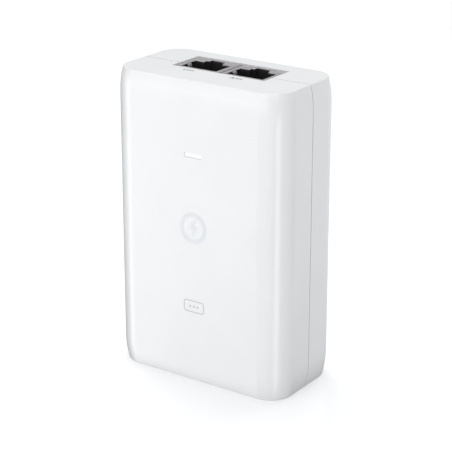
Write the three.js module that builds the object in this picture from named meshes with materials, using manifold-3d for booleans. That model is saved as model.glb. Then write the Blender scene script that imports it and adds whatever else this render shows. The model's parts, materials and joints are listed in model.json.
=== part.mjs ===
// A mains-powered PoE injector: a two-part plastic case standing on its end, with two shielded modular
// jacks in its top, a three-pin mains inlet in its base, a light pipe in its front and a slide-off wall
// bracket in its back. Millimetres, +Z up, front towards -Y, origin at the middle of the base.
import * as THREE from "three";
import { mergeVertices } from "three/addons/utils/BufferGeometryUtils.js";
import Module from "manifold-3d";

const wasm = await Module();
wasm.setup();

// ---------------------------------------------------------------- driving dimensions

// Case
const CASE_WIDTH = 63;
const CASE_DEPTH = 33.5;
const CASE_HEIGHT = 97.3;
const CORNER_RADIUS = 8.4; // upright edges of the case
const TAPER_HEIGHT = 8.1; // both ends draw in over this height
const TAPER_INSET = 1.06; // by this much all round
const WALL = 2.0;
const SPLIT_Y = 0.33; // the plane where the two covers meet
const SPLIT_GAP = 0.3;
const CORNER_STEPS = 7;
const TAPER_STEPS = 4;

// Tongue along the rear cover's rim, and the step it enters in the front cover
const TONGUE_OFFSET = 1.15; // its outer face, in from the case's surface
const TONGUE_REACH = 1.4;
const TONGUE_CLEARANCE = 0.2;

// Snap hooks between the covers
const HOOK_FROM_END = 28; // from each end of the case
const HOOK_WIDTH = 6;
const HOOK_THICKNESS = 1.1;
const HOOK_REACH = 5.8; // past the split plane
const HOOK_ROOT = 7.5; // behind the split plane
const HOOK_NUB = 0.8;
const HOOK_RAMP = 1.5; // from the tip to the nub's crest,
const HOOK_CREST = 0.4; // along the crest,
const HOOK_FALL = 0.3; // and down to the finger again
const HOOK_GUSSET = 4; // where the finger joins the side wall
const HOOK_CLEARANCE = 0.2;

// Upright ribs inside the front cover
const RIB_X = 16; // each side of the middle
const RIB_THICKNESS = 1.2;
const RIB_REACH = 1.2;
const RIB_FROM_END = 12.15;

// Modular jacks
const JACK_LENGTH = 16;
const JACK_GAP = 0.4; // between the two jacks
const JACK_RECESS = 0.35; // below the case's top face
const JACK_SEAT_GAP = 0.15; // between the can and what it is soldered to
const JACK_FIT = 0.22; // gap between the jacks and the case's window
const SHIELD_SHEET = 0.35;
const BODY_CLEARANCE = 0.1; // between a jack's shield and its plastic body
const PORT_WIDTH = 11.9; // the plug's own opening in the plastic body
const WINDOW_MARGIN = 0.6; // the shield's window is wider than the opening on each side
const PORT_HEIGHT = 7.5;
const PORT_SIDE = 2.3; // from the opening to the jack's outer faces: at each side,
const PORT_FRONT = 2.14; // at the contact side,
const PORT_BACK = 3.96; // and at the board side
const LATCH_STEPS = [
  { width: 6.8, reach: 1.62 },
  { width: 5, reach: 1.5 },
]; // the two steps of the latch's keyway, from the main opening towards the board
const PORT_LENGTH = 13;
const FINGER_THICKNESS = 0.22; // sprung earthing finger at each side of the window
const FINGER_WIDTH = 1.8;
const FINGER_BEND = 0.62; // how far it stands in from the window's edge,
const FINGER_BEND_DEPTH = 2.4; // at this depth below the can's top
const FINGER_LENGTH = 4.6;
const FINGER_FROM_FRONT = 7; // from the can's front to the finger
const CONTACT_COUNT = 8;
const CONTACT_PITCH = 1.02;
const CONTACT_WIDTH = 0.45;
const CONTACT_THICKNESS = 0.3;
const CONTACT_REACH = 2.9; // how far the sprung contacts stand into the opening
const TROUGH_DEPTH = 1.55; // the contacts' trough behind the opening's contact side
const TROUGH_MARGIN = 0.3;
const TROUGH_MOUTH = 1.7; // below the can's top
const TROUGH_END = 1.1; // above the jack's lower end
const FINGER_ROOM = 6.5; // depth of the room for the earthing fingers

// Mains inlet
const INLET_LENGTH = 18;
const INLET_RECESS = 0.3;
const INLET_FIT = 0.2;
const INLET_CAVITY = 14;
const LOBE_RADIUS = 4.1;
const LOBE_SIDE = 2.1; // from a lobe to the housing's sides,
const LOBE_FRONT = 1.5; // and to its front and back
const PIN_RADIUS = 1.2;
const PIN_SPREAD = 4; // live and neutral pins, each side of the middle
const EARTH_OFFSET = 5.2; // earth pin, from the line through the other two
const PIN_LENGTH = 17;
const PIN_TIP_DEPTH = 2.6;
const PIN_CLEARANCE = 0.1;

// Light pipe and its lamp
const LIGHT_DROP = 22.9; // below the case's top
const LIGHT_WIDTH = 6.8;
const LIGHT_THICKNESS = 1.6;
const LIGHT_RECESS = 0.45;
const LIGHT_CLEARANCE = 0.1;
const LIGHT_COLLAR = 1.2;
const COLLAR_REACH = 3;
const PIPE_FLANGE = 0.8;
const LED_RADIUS = 1.5;
const LED_LENGTH = 4.6;
const SPACER_RADIUS = 2.5;

// Circuit board
const BOARD_THICKNESS = 1.6;
const BOARD_EDGE_GAP = 2; // from the case's inner side walls
const BOARD_END_GAP = 1.6; // from the case's inner end walls
const SEAT_GAP = 0.1; // components sit this far off the board
const SCREW_INSET = 4; // from the board's side edges
const SCREW_FROM_END = 20; // from the case's ends
const SCREW_HEAD_RADIUS = 2.3;
const SCREW_HEAD_HEIGHT = 1.5;
const SCREW_SHANK_RADIUS = 1.2;
const SCREW_LENGTH = 5;
const SCREW_CLEARANCE = 0.2;
const BOSS_RADIUS = 2.6;
const BOSS_CLEARANCE = 0.25; // between a boss and the board
const SHEET_THICKNESS = 0.3;
const SHEET_INSET = 2; // from the board's edges
const SHEET_GAP = 0.8; // between the board and the insulation sheet
const SHEET_CLEARANCE = 0.35; // between the sheet and the bracket's tray

// Components on the board; heights are measured off the board
const FUSE = { length: 20, radius: 2.3, capLength: 5.2, capRadius: 2.6, axis: 2.8 };
const SURGE_DISC = { radius: 5.5, thickness: 4 };
const SAFETY_DISC = { radius: 4.2, thickness: 3.4 };
const DISC_STAND = 1.2;
const LEAD_RADIUS = 0.35;
const FILTER_BOX = { width: 17, length: 8.5, height: 14.5 };
const BULK_CAN = { radius: 8, height: 23 };
const OUTPUT_CAN = { radius: 4, height: 16 };
const CHOKE = { inner: 4.8, outer: 8.1, half: 2.9, gap: 0.3, winding: 0.9, spread: 1.5, axis: 9.6 };
const SINK = { height: 22.4, flange: 6, flangeThickness: 1.5, wall: 1.6 };
const MAINS_SINK_LENGTH = 21;
const OUTPUT_SINK_LENGTH = 19;
const PACKAGE = { width: 10, thickness: 4.4, foot: 4, top: 13, tabTop: 19, tabThickness: 1.3 };
const PACKAGE_LEG_PITCH = 2.54;
const TRANSFORMER = { width: 26, length: 11, height: 20, axis: 11.3, limb: 7, yoke: 3.1, side: 3.2 };
const TRANSFORMER_COIL = { width: 19, length: 20.4, height: 13.2, gap: 0.3 };
const TRANSFORMER_BASE = { width: 21, length: 20.4, height: 1.1 };
const BRIDGE = { width: 19, length: 3.5, height: 12.6, stand: 1.4, legPitch: 5 };
const OUTPUT_DRUM = { radius: 3.9, flangeRadius: 4.6, flange: 1.4, height: 10.4 };
const OPTOCOUPLER = { width: 4.6, length: 6.5, height: 3.4, legs: 2 };
const MAGNETICS = { width: 13, length: 9.4, height: 5.8, legs: 6 };
const CONTROLLER = { width: 3.6, length: 5, height: 1.2, legs: 4 };
const CHIP_STAND = 0.25;
const CHIP_LEG = { width: 0.5, height: 0.6, reach: 1 };

// Wall bracket and the recess that it slides in
const BRACKET_WIDTH = 38.2;
const BRACKET_HEIGHT = 52.2;
const BRACKET_THICKNESS = 1.75;
const BRACKET_TRAVEL = 9;
const BRACKET_TOP = 79.7;
const BRACKET_GAP = 0.3; // round the plate's edges
const FLOOR_GAP = 0.25; // behind the plate
const TAB_LENGTH = 8;
const TAB_REACH = 1.9;
const TAB_THICKNESS = 0.7;
const TAB_LEVELS = [34, 64]; // lower ends of the side tabs
const TAB_CLEARANCE = 0.2;
const RAIL_LIP = 0.9; // the overhang that holds a tab
const TRAY_WALL = 1.6;
const TONGUE_WIDTH = 12;
const TONGUE_SLOT = 1;
const TONGUE_BELOW = 5; // the release tongue hangs below the plate
const TONGUE_ROOT = 12.5; // its slots run this far up the plate
const BRACKET_HOLE_RADIUS = 2.1;
const BRACKET_HOLE_LEVELS = [46, 74];
const COUNTERSINK_RADIUS = 4;
const COUNTERSINK_LAND = 0.45;

// ---------------------------------------------------------------- derived places

const TAPER_RADIUS = (TAPER_HEIGHT ** 2 + TAPER_INSET ** 2) / (2 * TAPER_INSET);
const FRONT_Y = -CASE_DEPTH / 2;
const BACK_Y = CASE_DEPTH / 2;
const INNER_HALF_WIDTH = CASE_WIDTH / 2 - WALL;
const RECESS_FLOOR_Y = BACK_Y - BRACKET_THICKNESS - FLOOR_GAP;
const SHEET_Y = RECESS_FLOOR_Y - TRAY_WALL - SHEET_CLEARANCE - SHEET_THICKNESS;
const BOARD_BACK_Y = SHEET_Y - SHEET_GAP;
const BOARD_FRONT_Y = BOARD_BACK_Y - BOARD_THICKNESS; // the face that carries the components
const BOARD_HALF_WIDTH = INNER_HALF_WIDTH - BOARD_EDGE_GAP;
const SEAT_Y = BOARD_FRONT_Y - SEAT_GAP;
const LIGHT_HEIGHT = CASE_HEIGHT - LIGHT_DROP;
const JACK_WIDTH = PORT_WIDTH + 2 * PORT_SIDE;
const JACK_DEPTH = PORT_FRONT + PORT_HEIGHT + PORT_BACK;
const JACK_PITCH = JACK_WIDTH + JACK_GAP;
const JACK_BACK_Y = SEAT_Y - JACK_SEAT_GAP;
const JACK_TOP_Z = CASE_HEIGHT - JACK_RECESS;
const JACK_BOTTOM_Z = JACK_TOP_Z - JACK_LENGTH;
const INLET_WIDTH = 2 * (PIN_SPREAD + LOBE_RADIUS + LOBE_SIDE);
const INLET_DEPTH = EARTH_OFFSET + 2 * (LOBE_RADIUS + LOBE_FRONT);
const INLET_Y = SEAT_Y - INLET_DEPTH / 2;
const RECESS_HALF_WIDTH = BRACKET_WIDTH / 2 + BRACKET_GAP;
const RECESS_TOP = BRACKET_TOP + BRACKET_GAP;
const BRACKET_BOTTOM = BRACKET_TOP - BRACKET_HEIGHT;
const RECESS_BOTTOM = BRACKET_BOTTOM - TONGUE_BELOW - BRACKET_TRAVEL - 1;
const RAIL_HALF_WIDTH = BRACKET_WIDTH / 2 + TAB_REACH + TAB_CLEARANCE;
const HOOK_LEVELS = [HOOK_FROM_END, CASE_HEIGHT - HOOK_FROM_END];
const SCREW_X = BOARD_HALF_WIDTH - SCREW_INSET;
const SCREW_PLACES = [SCREW_FROM_END, CASE_HEIGHT - SCREW_FROM_END].flatMap((z) => [
  [-SCREW_X, z],
  [SCREW_X, z],
]);

// ---------------------------------------------------------------- finishes

const finish = (color, roughness, metalness = 0) =>
  new THREE.MeshStandardMaterial({ color, roughness, metalness });
const WHITE_SHELL = finish(0xeeeff1, 0.38);
const CLEAR_GUIDE = finish(0xffffff, 0.2);
const BLACK_PLASTIC = finish(0x141416, 0.5);
const SHIELD_METAL = finish(0x9b9799, 0.35, 0.9);
const CONTACT_GOLD = finish(0xd4a94a, 0.25, 1);
const PIN_METAL = finish(0xb9bcc0, 0.25, 1);
const BOARD_GREEN = finish(0x1f5a38, 0.5);
const FERRITE = finish(0x2b2b2e, 0.7);
const COPPER_WIRE = finish(0xb5652c, 0.35, 0.8);
const TAPE_YELLOW = finish(0xd9b23a, 0.5);
const ALUMINIUM = finish(0xb4b7ba, 0.4, 0.9);
const CAPACITOR_SLEEVE = finish(0x23293a, 0.4);
const FILM_GREY = finish(0x8f9296, 0.5);
const CERAMIC_BLUE = finish(0x2c62a6, 0.5);
const GLASS_TUBE = finish(0xcfd8d4, 0.15);
const BARRIER_SHEET = finish(0xd8d2b8, 0.6);
const SCREW_STEEL = finish(0xa9acb0, 0.3, 1);

// ---------------------------------------------------------------- solids and shapes

// A closed geometry as a solid that can be joined and cut.
function solid(geometry) {
  const bare = geometry.clone();
  bare.deleteAttribute("normal");
  bare.deleteAttribute("uv");
  const merged = mergeVertices(bare, 1e-4);
  return new wasm.Manifold(
    new wasm.Mesh({
      numProp: 3,
      vertProperties: merged.attributes.position.array,
      triVerts: new Uint32Array(merged.index.array),
    }),
  );
}

// The solid's faces as a geometry for a mesh.
function geometryOf(manifold) {
  const mesh = manifold.getMesh();
  const geometry = new THREE.BufferGeometry();
  geometry.setAttribute("position", new THREE.BufferAttribute(mesh.vertProperties, 3));
  geometry.setIndex(new THREE.BufferAttribute(mesh.triVerts, 1));
  geometry.computeVertexNormals();
  return geometry;
}

// A box between two limits on each axis.
function block([x0, x1], [y0, y1], [z0, z1]) {
  const box = new THREE.BoxGeometry(x1 - x0, y1 - y0, z1 - z0);
  return solid(box.translate((x0 + x1) / 2, (y0 + y1) / 2, (z0 + z1) / 2));
}

// A box that is centred on x = 0.
const centredBlock = (width, y, z) => block([-width / 2, width / 2], y, z);

const EXTRUDE_DIRECTIONS = {
  x: new THREE.Matrix4().makeBasis(axis(0, 1, 0), axis(0, 0, 1), axis(1, 0, 0)),
  y: new THREE.Matrix4().makeBasis(axis(1, 0, 0), axis(0, 0, 1), axis(0, -1, 0)),
  z: new THREE.Matrix4(),
};

function axis(x, y, z) {
  return new THREE.Vector3(x, y, z);
}

// A flat outline pushed along an axis from low to high. The outline is drawn in (y, z) for x, in (x, z)
// for y, and in (x, y) for z.
function extruded(shape, direction, [low, high], curveSegments = 6) {
  const depth = high - low;
  const options = { depth, bevelEnabled: false, curveSegments };
  const geometry = new THREE.ExtrudeGeometry(shape, options);
  geometry.applyMatrix4(EXTRUDE_DIRECTIONS[direction]);
  const start = { x: [low, 0, 0], y: [0, high, 0], z: [0, 0, low] }[direction];
  return solid(geometry.translate(...start));
}

// A straight round bar along an axis, centred on the other two.
function rod(radius, direction, [low, high], segments = 24) {
  const bar = new THREE.CylinderGeometry(radius, radius, high - low, segments);
  bar.translate(0, (low + high) / 2, 0);
  if (direction === "z") bar.rotateX(Math.PI / 2);
  if (direction === "x") bar.rotateZ(-Math.PI / 2);
  return solid(bar);
}

// A turned solid about the Z axis, from (radius, z) points that start and end on the axis or close.
function turned(points, segments = 24) {
  const profile = points.map(([radius, z]) => new THREE.Vector2(radius, z));
  return solid(new THREE.LatheGeometry(profile, segments).rotateX(Math.PI / 2));
}

// A polygon through the given points.
const polygon = (points) => new THREE.Shape(points.map(([u, v]) => new THREE.Vector2(u, v)));

// A slot outline with round ends, longer across than it is high.
function stadium(width, height) {
  const radius = height / 2;
  const shape = new THREE.Shape();
  shape.absarc(width / 2 - radius, 0, radius, -Math.PI / 2, Math.PI / 2, false);
  shape.absarc(radius - width / 2, 0, radius, Math.PI / 2, (3 * Math.PI) / 2, false);
  return shape;
}

// A strip of constant thickness that follows a bent centreline.
function bentStrip(points, thickness) {
  const line = points.map(([u, v]) => new THREE.Vector2(u, v));
  const normals = line.map((_, i) => {
    const before = line[Math.max(i - 1, 0)];
    const after = line[Math.min(i + 1, line.length - 1)];
    const along = after.clone().sub(before).normalize();
    return new THREE.Vector2(-along.y, along.x).multiplyScalar(thickness / 2);
  });
  const left = line.map((point, i) => point.clone().add(normals[i]));
  const right = line.map((point, i) => point.clone().sub(normals[i]));
  return new THREE.Shape([...right, ...left.reverse()]);
}

const union = (...solids) => solids.reduce((whole, piece) => whole.add(piece));
const cut = (body, ...tools) => tools.reduce((rest, tool) => rest.subtract(tool), body);

// A mesh from a solid or a geometry.
function piece(name, shape, material, place = [0, 0, 0]) {
  const geometry = shape.isBufferGeometry ? shape : geometryOf(shape);
  const mesh = new THREE.Mesh(geometry, material);
  mesh.name = name;
  mesh.position.set(...place);
  return mesh;
}

function assembly(place, ...members) {
  const group = new THREE.Group();
  group.position.set(...place);
  group.add(...members);
  return group;
}

// ---------------------------------------------------------------- the case

// How far the case's side has drawn in at a height above the base.
function taperInset(z) {
  const climb = TAPER_HEIGHT - Math.min(z, CASE_HEIGHT - z);
  return climb > 0 ? TAPER_RADIUS - Math.sqrt(TAPER_RADIUS ** 2 - climb ** 2) : 0;
}

// The case's outline at a height, taken inwards by an offset: four round corners, counter-clockwise.
function caseOutline(z, offset) {
  const inset = taperInset(z) + offset;
  const radius = Math.max(CORNER_RADIUS - inset, 0.5);
  const centreX = CASE_WIDTH / 2 - inset - radius;
  const centreY = CASE_DEPTH / 2 - inset - radius;
  const corners = [
    [1, 1, 0],
    [-1, 1, 0.5],
    [-1, -1, 1],
    [1, -1, 1.5],
  ];
  return corners.flatMap(([sideX, sideY, start]) =>
    Array.from({ length: CORNER_STEPS + 1 }, (_, i) => {
      const angle = Math.PI * (start + i / CORNER_STEPS / 2);
      return [
        sideX * centreX + radius * Math.cos(angle),
        sideY * centreY + radius * Math.sin(angle),
        z,
      ];
    }),
  );
}

// The whole case as a solid block, taken inwards by an offset on every side.
function caseForm(offset) {
  const climb = Array.from(
    { length: TAPER_STEPS + 1 },
    (_, i) => offset + ((TAPER_HEIGHT - offset) * i) / TAPER_STEPS,
  );
  const levels = [...climb, ...climb.map((z) => CASE_HEIGHT - z).reverse()];
  const rings = levels.map((z) => caseOutline(z, offset));
  const count = rings[0].length;
  const faces = [];
  for (let level = 0; level < rings.length - 1; level++)
    for (let i = 0; i < count; i++) {
      const low = level * count;
      const next = (i + 1) % count;
      faces.push(low + i, low + next, low + count + next);
      faces.push(low + i, low + count + next, low + count + i);
    }
  const top = (rings.length - 1) * count;
  for (let i = 1; i < count - 1; i++) {
    faces.push(0, i + 1, i);
    faces.push(top, top + i, top + i + 1);
  }
  const geometry = new THREE.BufferGeometry();
  const positions = new THREE.Float32BufferAttribute(rings.flat(2), 3);
  geometry.setAttribute("position", positions);
  geometry.setIndex(faces);
  return solid(geometry);
}

// The space on one side of a plane across the case's depth.
const REACH = CASE_WIDTH + CASE_DEPTH + CASE_HEIGHT;
const inFrontOf = (y) => block([-REACH, REACH], [-REACH, y], [-REACH, REACH]);
const behind = (y) => block([-REACH, REACH], [y, REACH], [-REACH, REACH]);
const slabOf = (y) => block([-REACH, REACH], y, [-REACH, REACH]);

// The openings in the ends of the case for the jacks and the mains inlet.
function jackWindow() {
  const width = JACK_PITCH + JACK_WIDTH + 2 * JACK_FIT;
  const low = JACK_BACK_Y - JACK_DEPTH - JACK_FIT;
  return centredBlock(
    width,
    [low, JACK_BACK_Y + JACK_FIT],
    [CASE_HEIGHT - 2 * WALL, CASE_HEIGHT + WALL],
  );
}

function inletWindow() {
  const half = INLET_DEPTH / 2 + INLET_FIT;
  return centredBlock(
    INLET_WIDTH + 2 * INLET_FIT,
    [INLET_Y - half, INLET_Y + half],
    [-WALL, 2 * WALL],
  );
}

// A shape made for the +X side, and its mirror image.
const bothSides = (shape) => [shape, shape.mirror([1, 0, 0])];

// A finger from the rear cover's side wall, with an outward nub at its tip.
function snapHook(z) {
  const face = INNER_HALF_WIDTH - HOOK_CLEARANCE;
  const tip = SPLIT_Y - HOOK_REACH;
  const finger = polygon([
    [face - HOOK_THICKNESS, SPLIT_Y + HOOK_ROOT],
    [face - HOOK_THICKNESS, tip],
    [face - HOOK_THICKNESS / 2, tip],
    [face + HOOK_NUB, tip + HOOK_RAMP],
    [face + HOOK_NUB, tip + HOOK_RAMP + HOOK_CREST],
    [face, tip + HOOK_RAMP + HOOK_CREST + HOOK_FALL],
    [face, SPLIT_Y + HOOK_ROOT - HOOK_GUSSET],
    [INNER_HALF_WIDTH + WALL / 2, SPLIT_Y + HOOK_ROOT - HOOK_GUSSET + WALL / 2],
    [INNER_HALF_WIDTH + WALL / 2, SPLIT_Y + HOOK_ROOT],
  ]);
  return extruded(finger, "z", [z - HOOK_WIDTH / 2, z + HOOK_WIDTH / 2]);
}

// The pocket inside the front cover's wall that a nub springs into.
function hookPocket(z) {
  const face = INNER_HALF_WIDTH - HOOK_CLEARANCE;
  const tip = SPLIT_Y - HOOK_REACH;
  const half = HOOK_WIDTH / 2 + 2 * HOOK_CLEARANCE;
  return block(
    [face, face + HOOK_NUB + HOOK_CLEARANCE],
    [tip, tip + HOOK_RAMP + HOOK_CREST + HOOK_FALL + HOOK_CLEARANCE],
    [z - half, z + half],
  );
}

function frontCover() {
  const shell = caseForm(0).intersect(inFrontOf(SPLIT_Y - SPLIT_GAP / 2));
  const step = caseForm(TONGUE_OFFSET - TONGUE_CLEARANCE).intersect(
    slabOf([SPLIT_Y - TONGUE_REACH - TONGUE_CLEARANCE, SPLIT_Y]),
  );
  const inner = FRONT_Y + WALL;
  const raised = (shape, reach) => extruded(shape, "y", [inner - WALL / 2, inner + reach]);
  const collar = raised(
    stadium(LIGHT_WIDTH + 2 * LIGHT_COLLAR, LIGHT_THICKNESS + 2 * LIGHT_COLLAR),
    COLLAR_REACH,
  ).translate([0, 0, LIGHT_HEIGHT]);
  const slot = extruded(stadium(LIGHT_WIDTH, LIGHT_THICKNESS), "y", [
    FRONT_Y - WALL,
    inner + COLLAR_REACH + WALL,
  ]).translate([0, 0, LIGHT_HEIGHT]);
  const ribs = [-1, 1].map((side) =>
    block(
      [side * RIB_X - RIB_THICKNESS / 2, side * RIB_X + RIB_THICKNESS / 2],
      [inner - WALL / 2, inner + RIB_REACH],
      [RIB_FROM_END, CASE_HEIGHT - RIB_FROM_END],
    ),
  );
  const hollow = cut(shell, caseForm(WALL), step, jackWindow(), inletWindow());
  return cut(union(hollow, collar, ...ribs), slot, ...HOOK_LEVELS.flatMap((z) => bothSides(hookPocket(z))));
}

// The raised lip round the rear cover's rim, which the front cover closes over.
function rimTongue() {
  const ring = caseForm(TONGUE_OFFSET).subtract(caseForm(WALL));
  return ring.intersect(slabOf([SPLIT_Y - TONGUE_REACH, SPLIT_Y + SPLIT_GAP + WALL / 2]));
}

// The recess for the wall bracket, with undercut rails at its sides.
function bracketRecess() {
  const recess = centredBlock(
    2 * RECESS_HALF_WIDTH,
    [RECESS_FLOOR_Y, BACK_Y + WALL],
    [RECESS_BOTTOM, RECESS_TOP],
  );
  const undercut = centredBlock(
    2 * RAIL_HALF_WIDTH,
    [RECESS_FLOOR_Y, BACK_Y - RAIL_LIP],
    [RECESS_BOTTOM, RECESS_TOP],
  );
  const entries = TAB_LEVELS.map((z) =>
    centredBlock(
      2 * RAIL_HALF_WIDTH,
      [RECESS_FLOOR_Y, BACK_Y + WALL],
      [z - BRACKET_TRAVEL - 0.5, z - BRACKET_TRAVEL + TAB_LENGTH + 0.5],
    ),
  );
  return union(recess, undercut, ...entries);
}

// The wall that carries the recess's floor and rails inside the case.
function bracketTray() {
  return centredBlock(
    2 * (RAIL_HALF_WIDTH + TRAY_WALL),
    [RECESS_FLOOR_Y - TRAY_WALL, BACK_Y - WALL / 2],
    [RECESS_BOTTOM - TRAY_WALL, RECESS_TOP + TRAY_WALL],
  );
}

function rearCover() {
  const shell = caseForm(0).intersect(behind(SPLIT_Y + SPLIT_GAP / 2));
  const bossFoot = BOARD_BACK_Y + BOSS_CLEARANCE;
  const bosses = SCREW_PLACES.map(([x, z]) =>
    rod(BOSS_RADIUS, "y", [bossFoot, BACK_Y - WALL + 0.3]).translate([x, 0, z]),
  );
  const pilots = SCREW_PLACES.map(([x, z]) =>
    rod(SCREW_SHANK_RADIUS + SCREW_CLEARANCE, "y", [
      bossFoot - WALL,
      SEAT_Y + SCREW_LENGTH + SCREW_CLEARANCE,
    ]).translate([x, 0, z]),
  );
  const hollow = union(cut(shell, caseForm(WALL)), rimTongue(), bracketTray(), ...bosses);
  const opened = cut(hollow, jackWindow(), inletWindow(), bracketRecess(), ...pilots);
  return union(opened, ...HOOK_LEVELS.flatMap((z) => bothSides(snapHook(z))));
}

// ---------------------------------------------------------------- light pipe and lamp

function statusLight() {
  const width = LIGHT_WIDTH - 2 * LIGHT_CLEARANCE;
  const height = LIGHT_THICKNESS - 2 * LIGHT_CLEARANCE;
  const end = FRONT_Y + WALL + COLLAR_REACH + 0.3;
  const guide = extruded(stadium(width, height), "y", [FRONT_Y + LIGHT_RECESS, end]);
  const flange = extruded(stadium(width + LIGHT_COLLAR, height + LIGHT_COLLAR), "y", [
    end - 0.05,
    end + PIPE_FLANGE,
  ]);
  const ledTip = end + PIPE_FLANGE + 0.3;
  const ledFoot = ledTip + LED_LENGTH;
  const dome = Array.from({ length: 7 }, (_, i) => {
    const angle = (Math.PI / 2) * (1 - i / 6);
    return [LED_RADIUS * Math.cos(angle), LED_LENGTH - LED_RADIUS + LED_RADIUS * Math.sin(angle)];
  });
  const lens = turned([
    [0, 0],
    [LED_RADIUS + 0.4, 0],
    [LED_RADIUS + 0.4, 0.8],
    [LED_RADIUS, 0.8],
    ...dome.reverse(),
  ], 20);
  const spacer = cut(
    rod(SPACER_RADIUS, "y", [ledFoot + 0.1, SEAT_Y]),
    rod(0.9, "y", [ledFoot - 1, SEAT_Y + 1], 12),
  );
  return assembly(
    [0, 0, LIGHT_HEIGHT],
    piece("status_light_pipe", union(guide, flange), CLEAR_GUIDE),
    piece("status_led", lens.rotate([90, 0, 0]), CLEAR_GUIDE, [0, ledFoot, 0]),
    piece("led_spacer", spacer, BLACK_PLASTIC),
  );
}

// ---------------------------------------------------------------- modular jacks

// The stepped outline that a plug enters, drawn in (x, y) from the jack's board side.
function portOutline(margin) {
  const half = PORT_WIDTH / 2 + margin;
  const near = -PORT_BACK;
  const [inner, outer] = LATCH_STEPS;
  return polygon([
    [half, near - PORT_HEIGHT - margin / 2],
    [half, near],
    [inner.width / 2, near],
    [inner.width / 2, near + inner.reach],
    [outer.width / 2, near + inner.reach],
    [outer.width / 2, near + inner.reach + outer.reach],
    [-outer.width / 2, near + inner.reach + outer.reach],
    [-outer.width / 2, near + inner.reach],
    [-inner.width / 2, near + inner.reach],
    [-inner.width / 2, near],
    [-half, near],
    [-half, near - PORT_HEIGHT - margin / 2],
  ]);
}

// A folded metal can, open towards the board, with a sprung earthing finger on each side of the window.
function jackShield() {
  const half = JACK_WIDTH / 2;
  const can = block([-half, half], [-JACK_DEPTH, 0], [-JACK_LENGTH, 0]);
  const space = block(
    [SHIELD_SHEET - half, half - SHIELD_SHEET],
    [SHIELD_SHEET - JACK_DEPTH, SHIELD_SHEET],
    [SHIELD_SHEET - JACK_LENGTH, -SHIELD_SHEET],
  );
  const window = extruded(portOutline(WINDOW_MARGIN), "z", [-1, 1]);
  const edge = PORT_WIDTH / 2 + WINDOW_MARGIN;
  const shoulder = edge - FINGER_BEND / 2;
  const finger = bentStrip(
    [
      [edge + SHIELD_SHEET / 2, -SHIELD_SHEET / 2],
      [shoulder, -2 * SHIELD_SHEET],
      [edge - FINGER_BEND, -FINGER_BEND_DEPTH],
      [shoulder, -FINGER_LENGTH],
    ],
    FINGER_THICKNESS,
  );
  const start = -JACK_DEPTH + FINGER_FROM_FRONT - FINGER_WIDTH;
  const right = extruded(finger, "y", [start, start + FINGER_WIDTH]);
  return union(cut(can, space, window), ...bothSides(right));
}

// The plastic body that fills the can, with the plug's opening, room for the contacts and for the fingers.
function jackBody() {
  const clear = SHIELD_SHEET + BODY_CLEARANCE;
  const half = JACK_WIDTH / 2 - clear;
  const core = block([-half, half], [clear - JACK_DEPTH, -BODY_CLEARANCE], [clear - JACK_LENGTH, -clear]);
  const opening = extruded(portOutline(0), "z", [-PORT_LENGTH, 1]);
  const far = -PORT_BACK - PORT_HEIGHT;
  const trough = centredBlock(
    CONTACT_PITCH * CONTACT_COUNT + 2 * TROUGH_MARGIN,
    [far - TROUGH_DEPTH, far + 1],
    [-JACK_LENGTH + TROUGH_END, -TROUGH_MOUTH],
  );
  const pockets = centredBlock(
    PORT_WIDTH + 2 * WINDOW_MARGIN + 2 * FINGER_THICKNESS,
    [far + WINDOW_MARGIN, -PORT_BACK - SHIELD_SHEET],
    [-FINGER_ROOM, 1],
  );
  return cut(core, opening, trough, pockets);
}

// One sprung contact: along the trough, round its mouth and back into the opening.
function jackContact() {
  const far = -PORT_BACK - PORT_HEIGHT;
  const path = [
    [far - 1.1, -JACK_LENGTH + 1.5],
    [far - 1.1, -3.2],
    [far - 0.9, -2.45],
    [far - 0.4, -2.25],
    [far + 0.1, -2.55],
    [far + CONTACT_REACH - 0.5, -8.6],
    [far + CONTACT_REACH, -9.9],
    [far + CONTACT_REACH - 0.15, -11.2],
  ];
  const strip = bentStrip(path, CONTACT_THICKNESS);
  return extruded(strip, "x", [-CONTACT_WIDTH / 2, CONTACT_WIDTH / 2]);
}

function modularJack(port, x) {
  const contact = geometryOf(jackContact());
  const contacts = Array.from({ length: CONTACT_COUNT }, (_, i) =>
    piece(`${port}_contact_${i + 1}`, contact, CONTACT_GOLD, [
      (i - (CONTACT_COUNT - 1) / 2) * CONTACT_PITCH,
      0,
      0,
    ]),
  );
  return assembly(
    [x, JACK_BACK_Y, JACK_TOP_Z],
    piece(`${port}_jack_shield`, jackShield(), SHIELD_METAL),
    piece(`${port}_jack_body`, jackBody(), BLACK_PLASTIC),
    ...contacts,
  );
}

// ---------------------------------------------------------------- mains inlet

// Pin places in the inlet's own (x, y), with the earth pin towards the board.
const PIN_PLACES = {
  line: [PIN_SPREAD, -EARTH_OFFSET / 2],
  neutral: [-PIN_SPREAD, -EARTH_OFFSET / 2],
  earth: [0, EARTH_OFFSET / 2],
};

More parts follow.
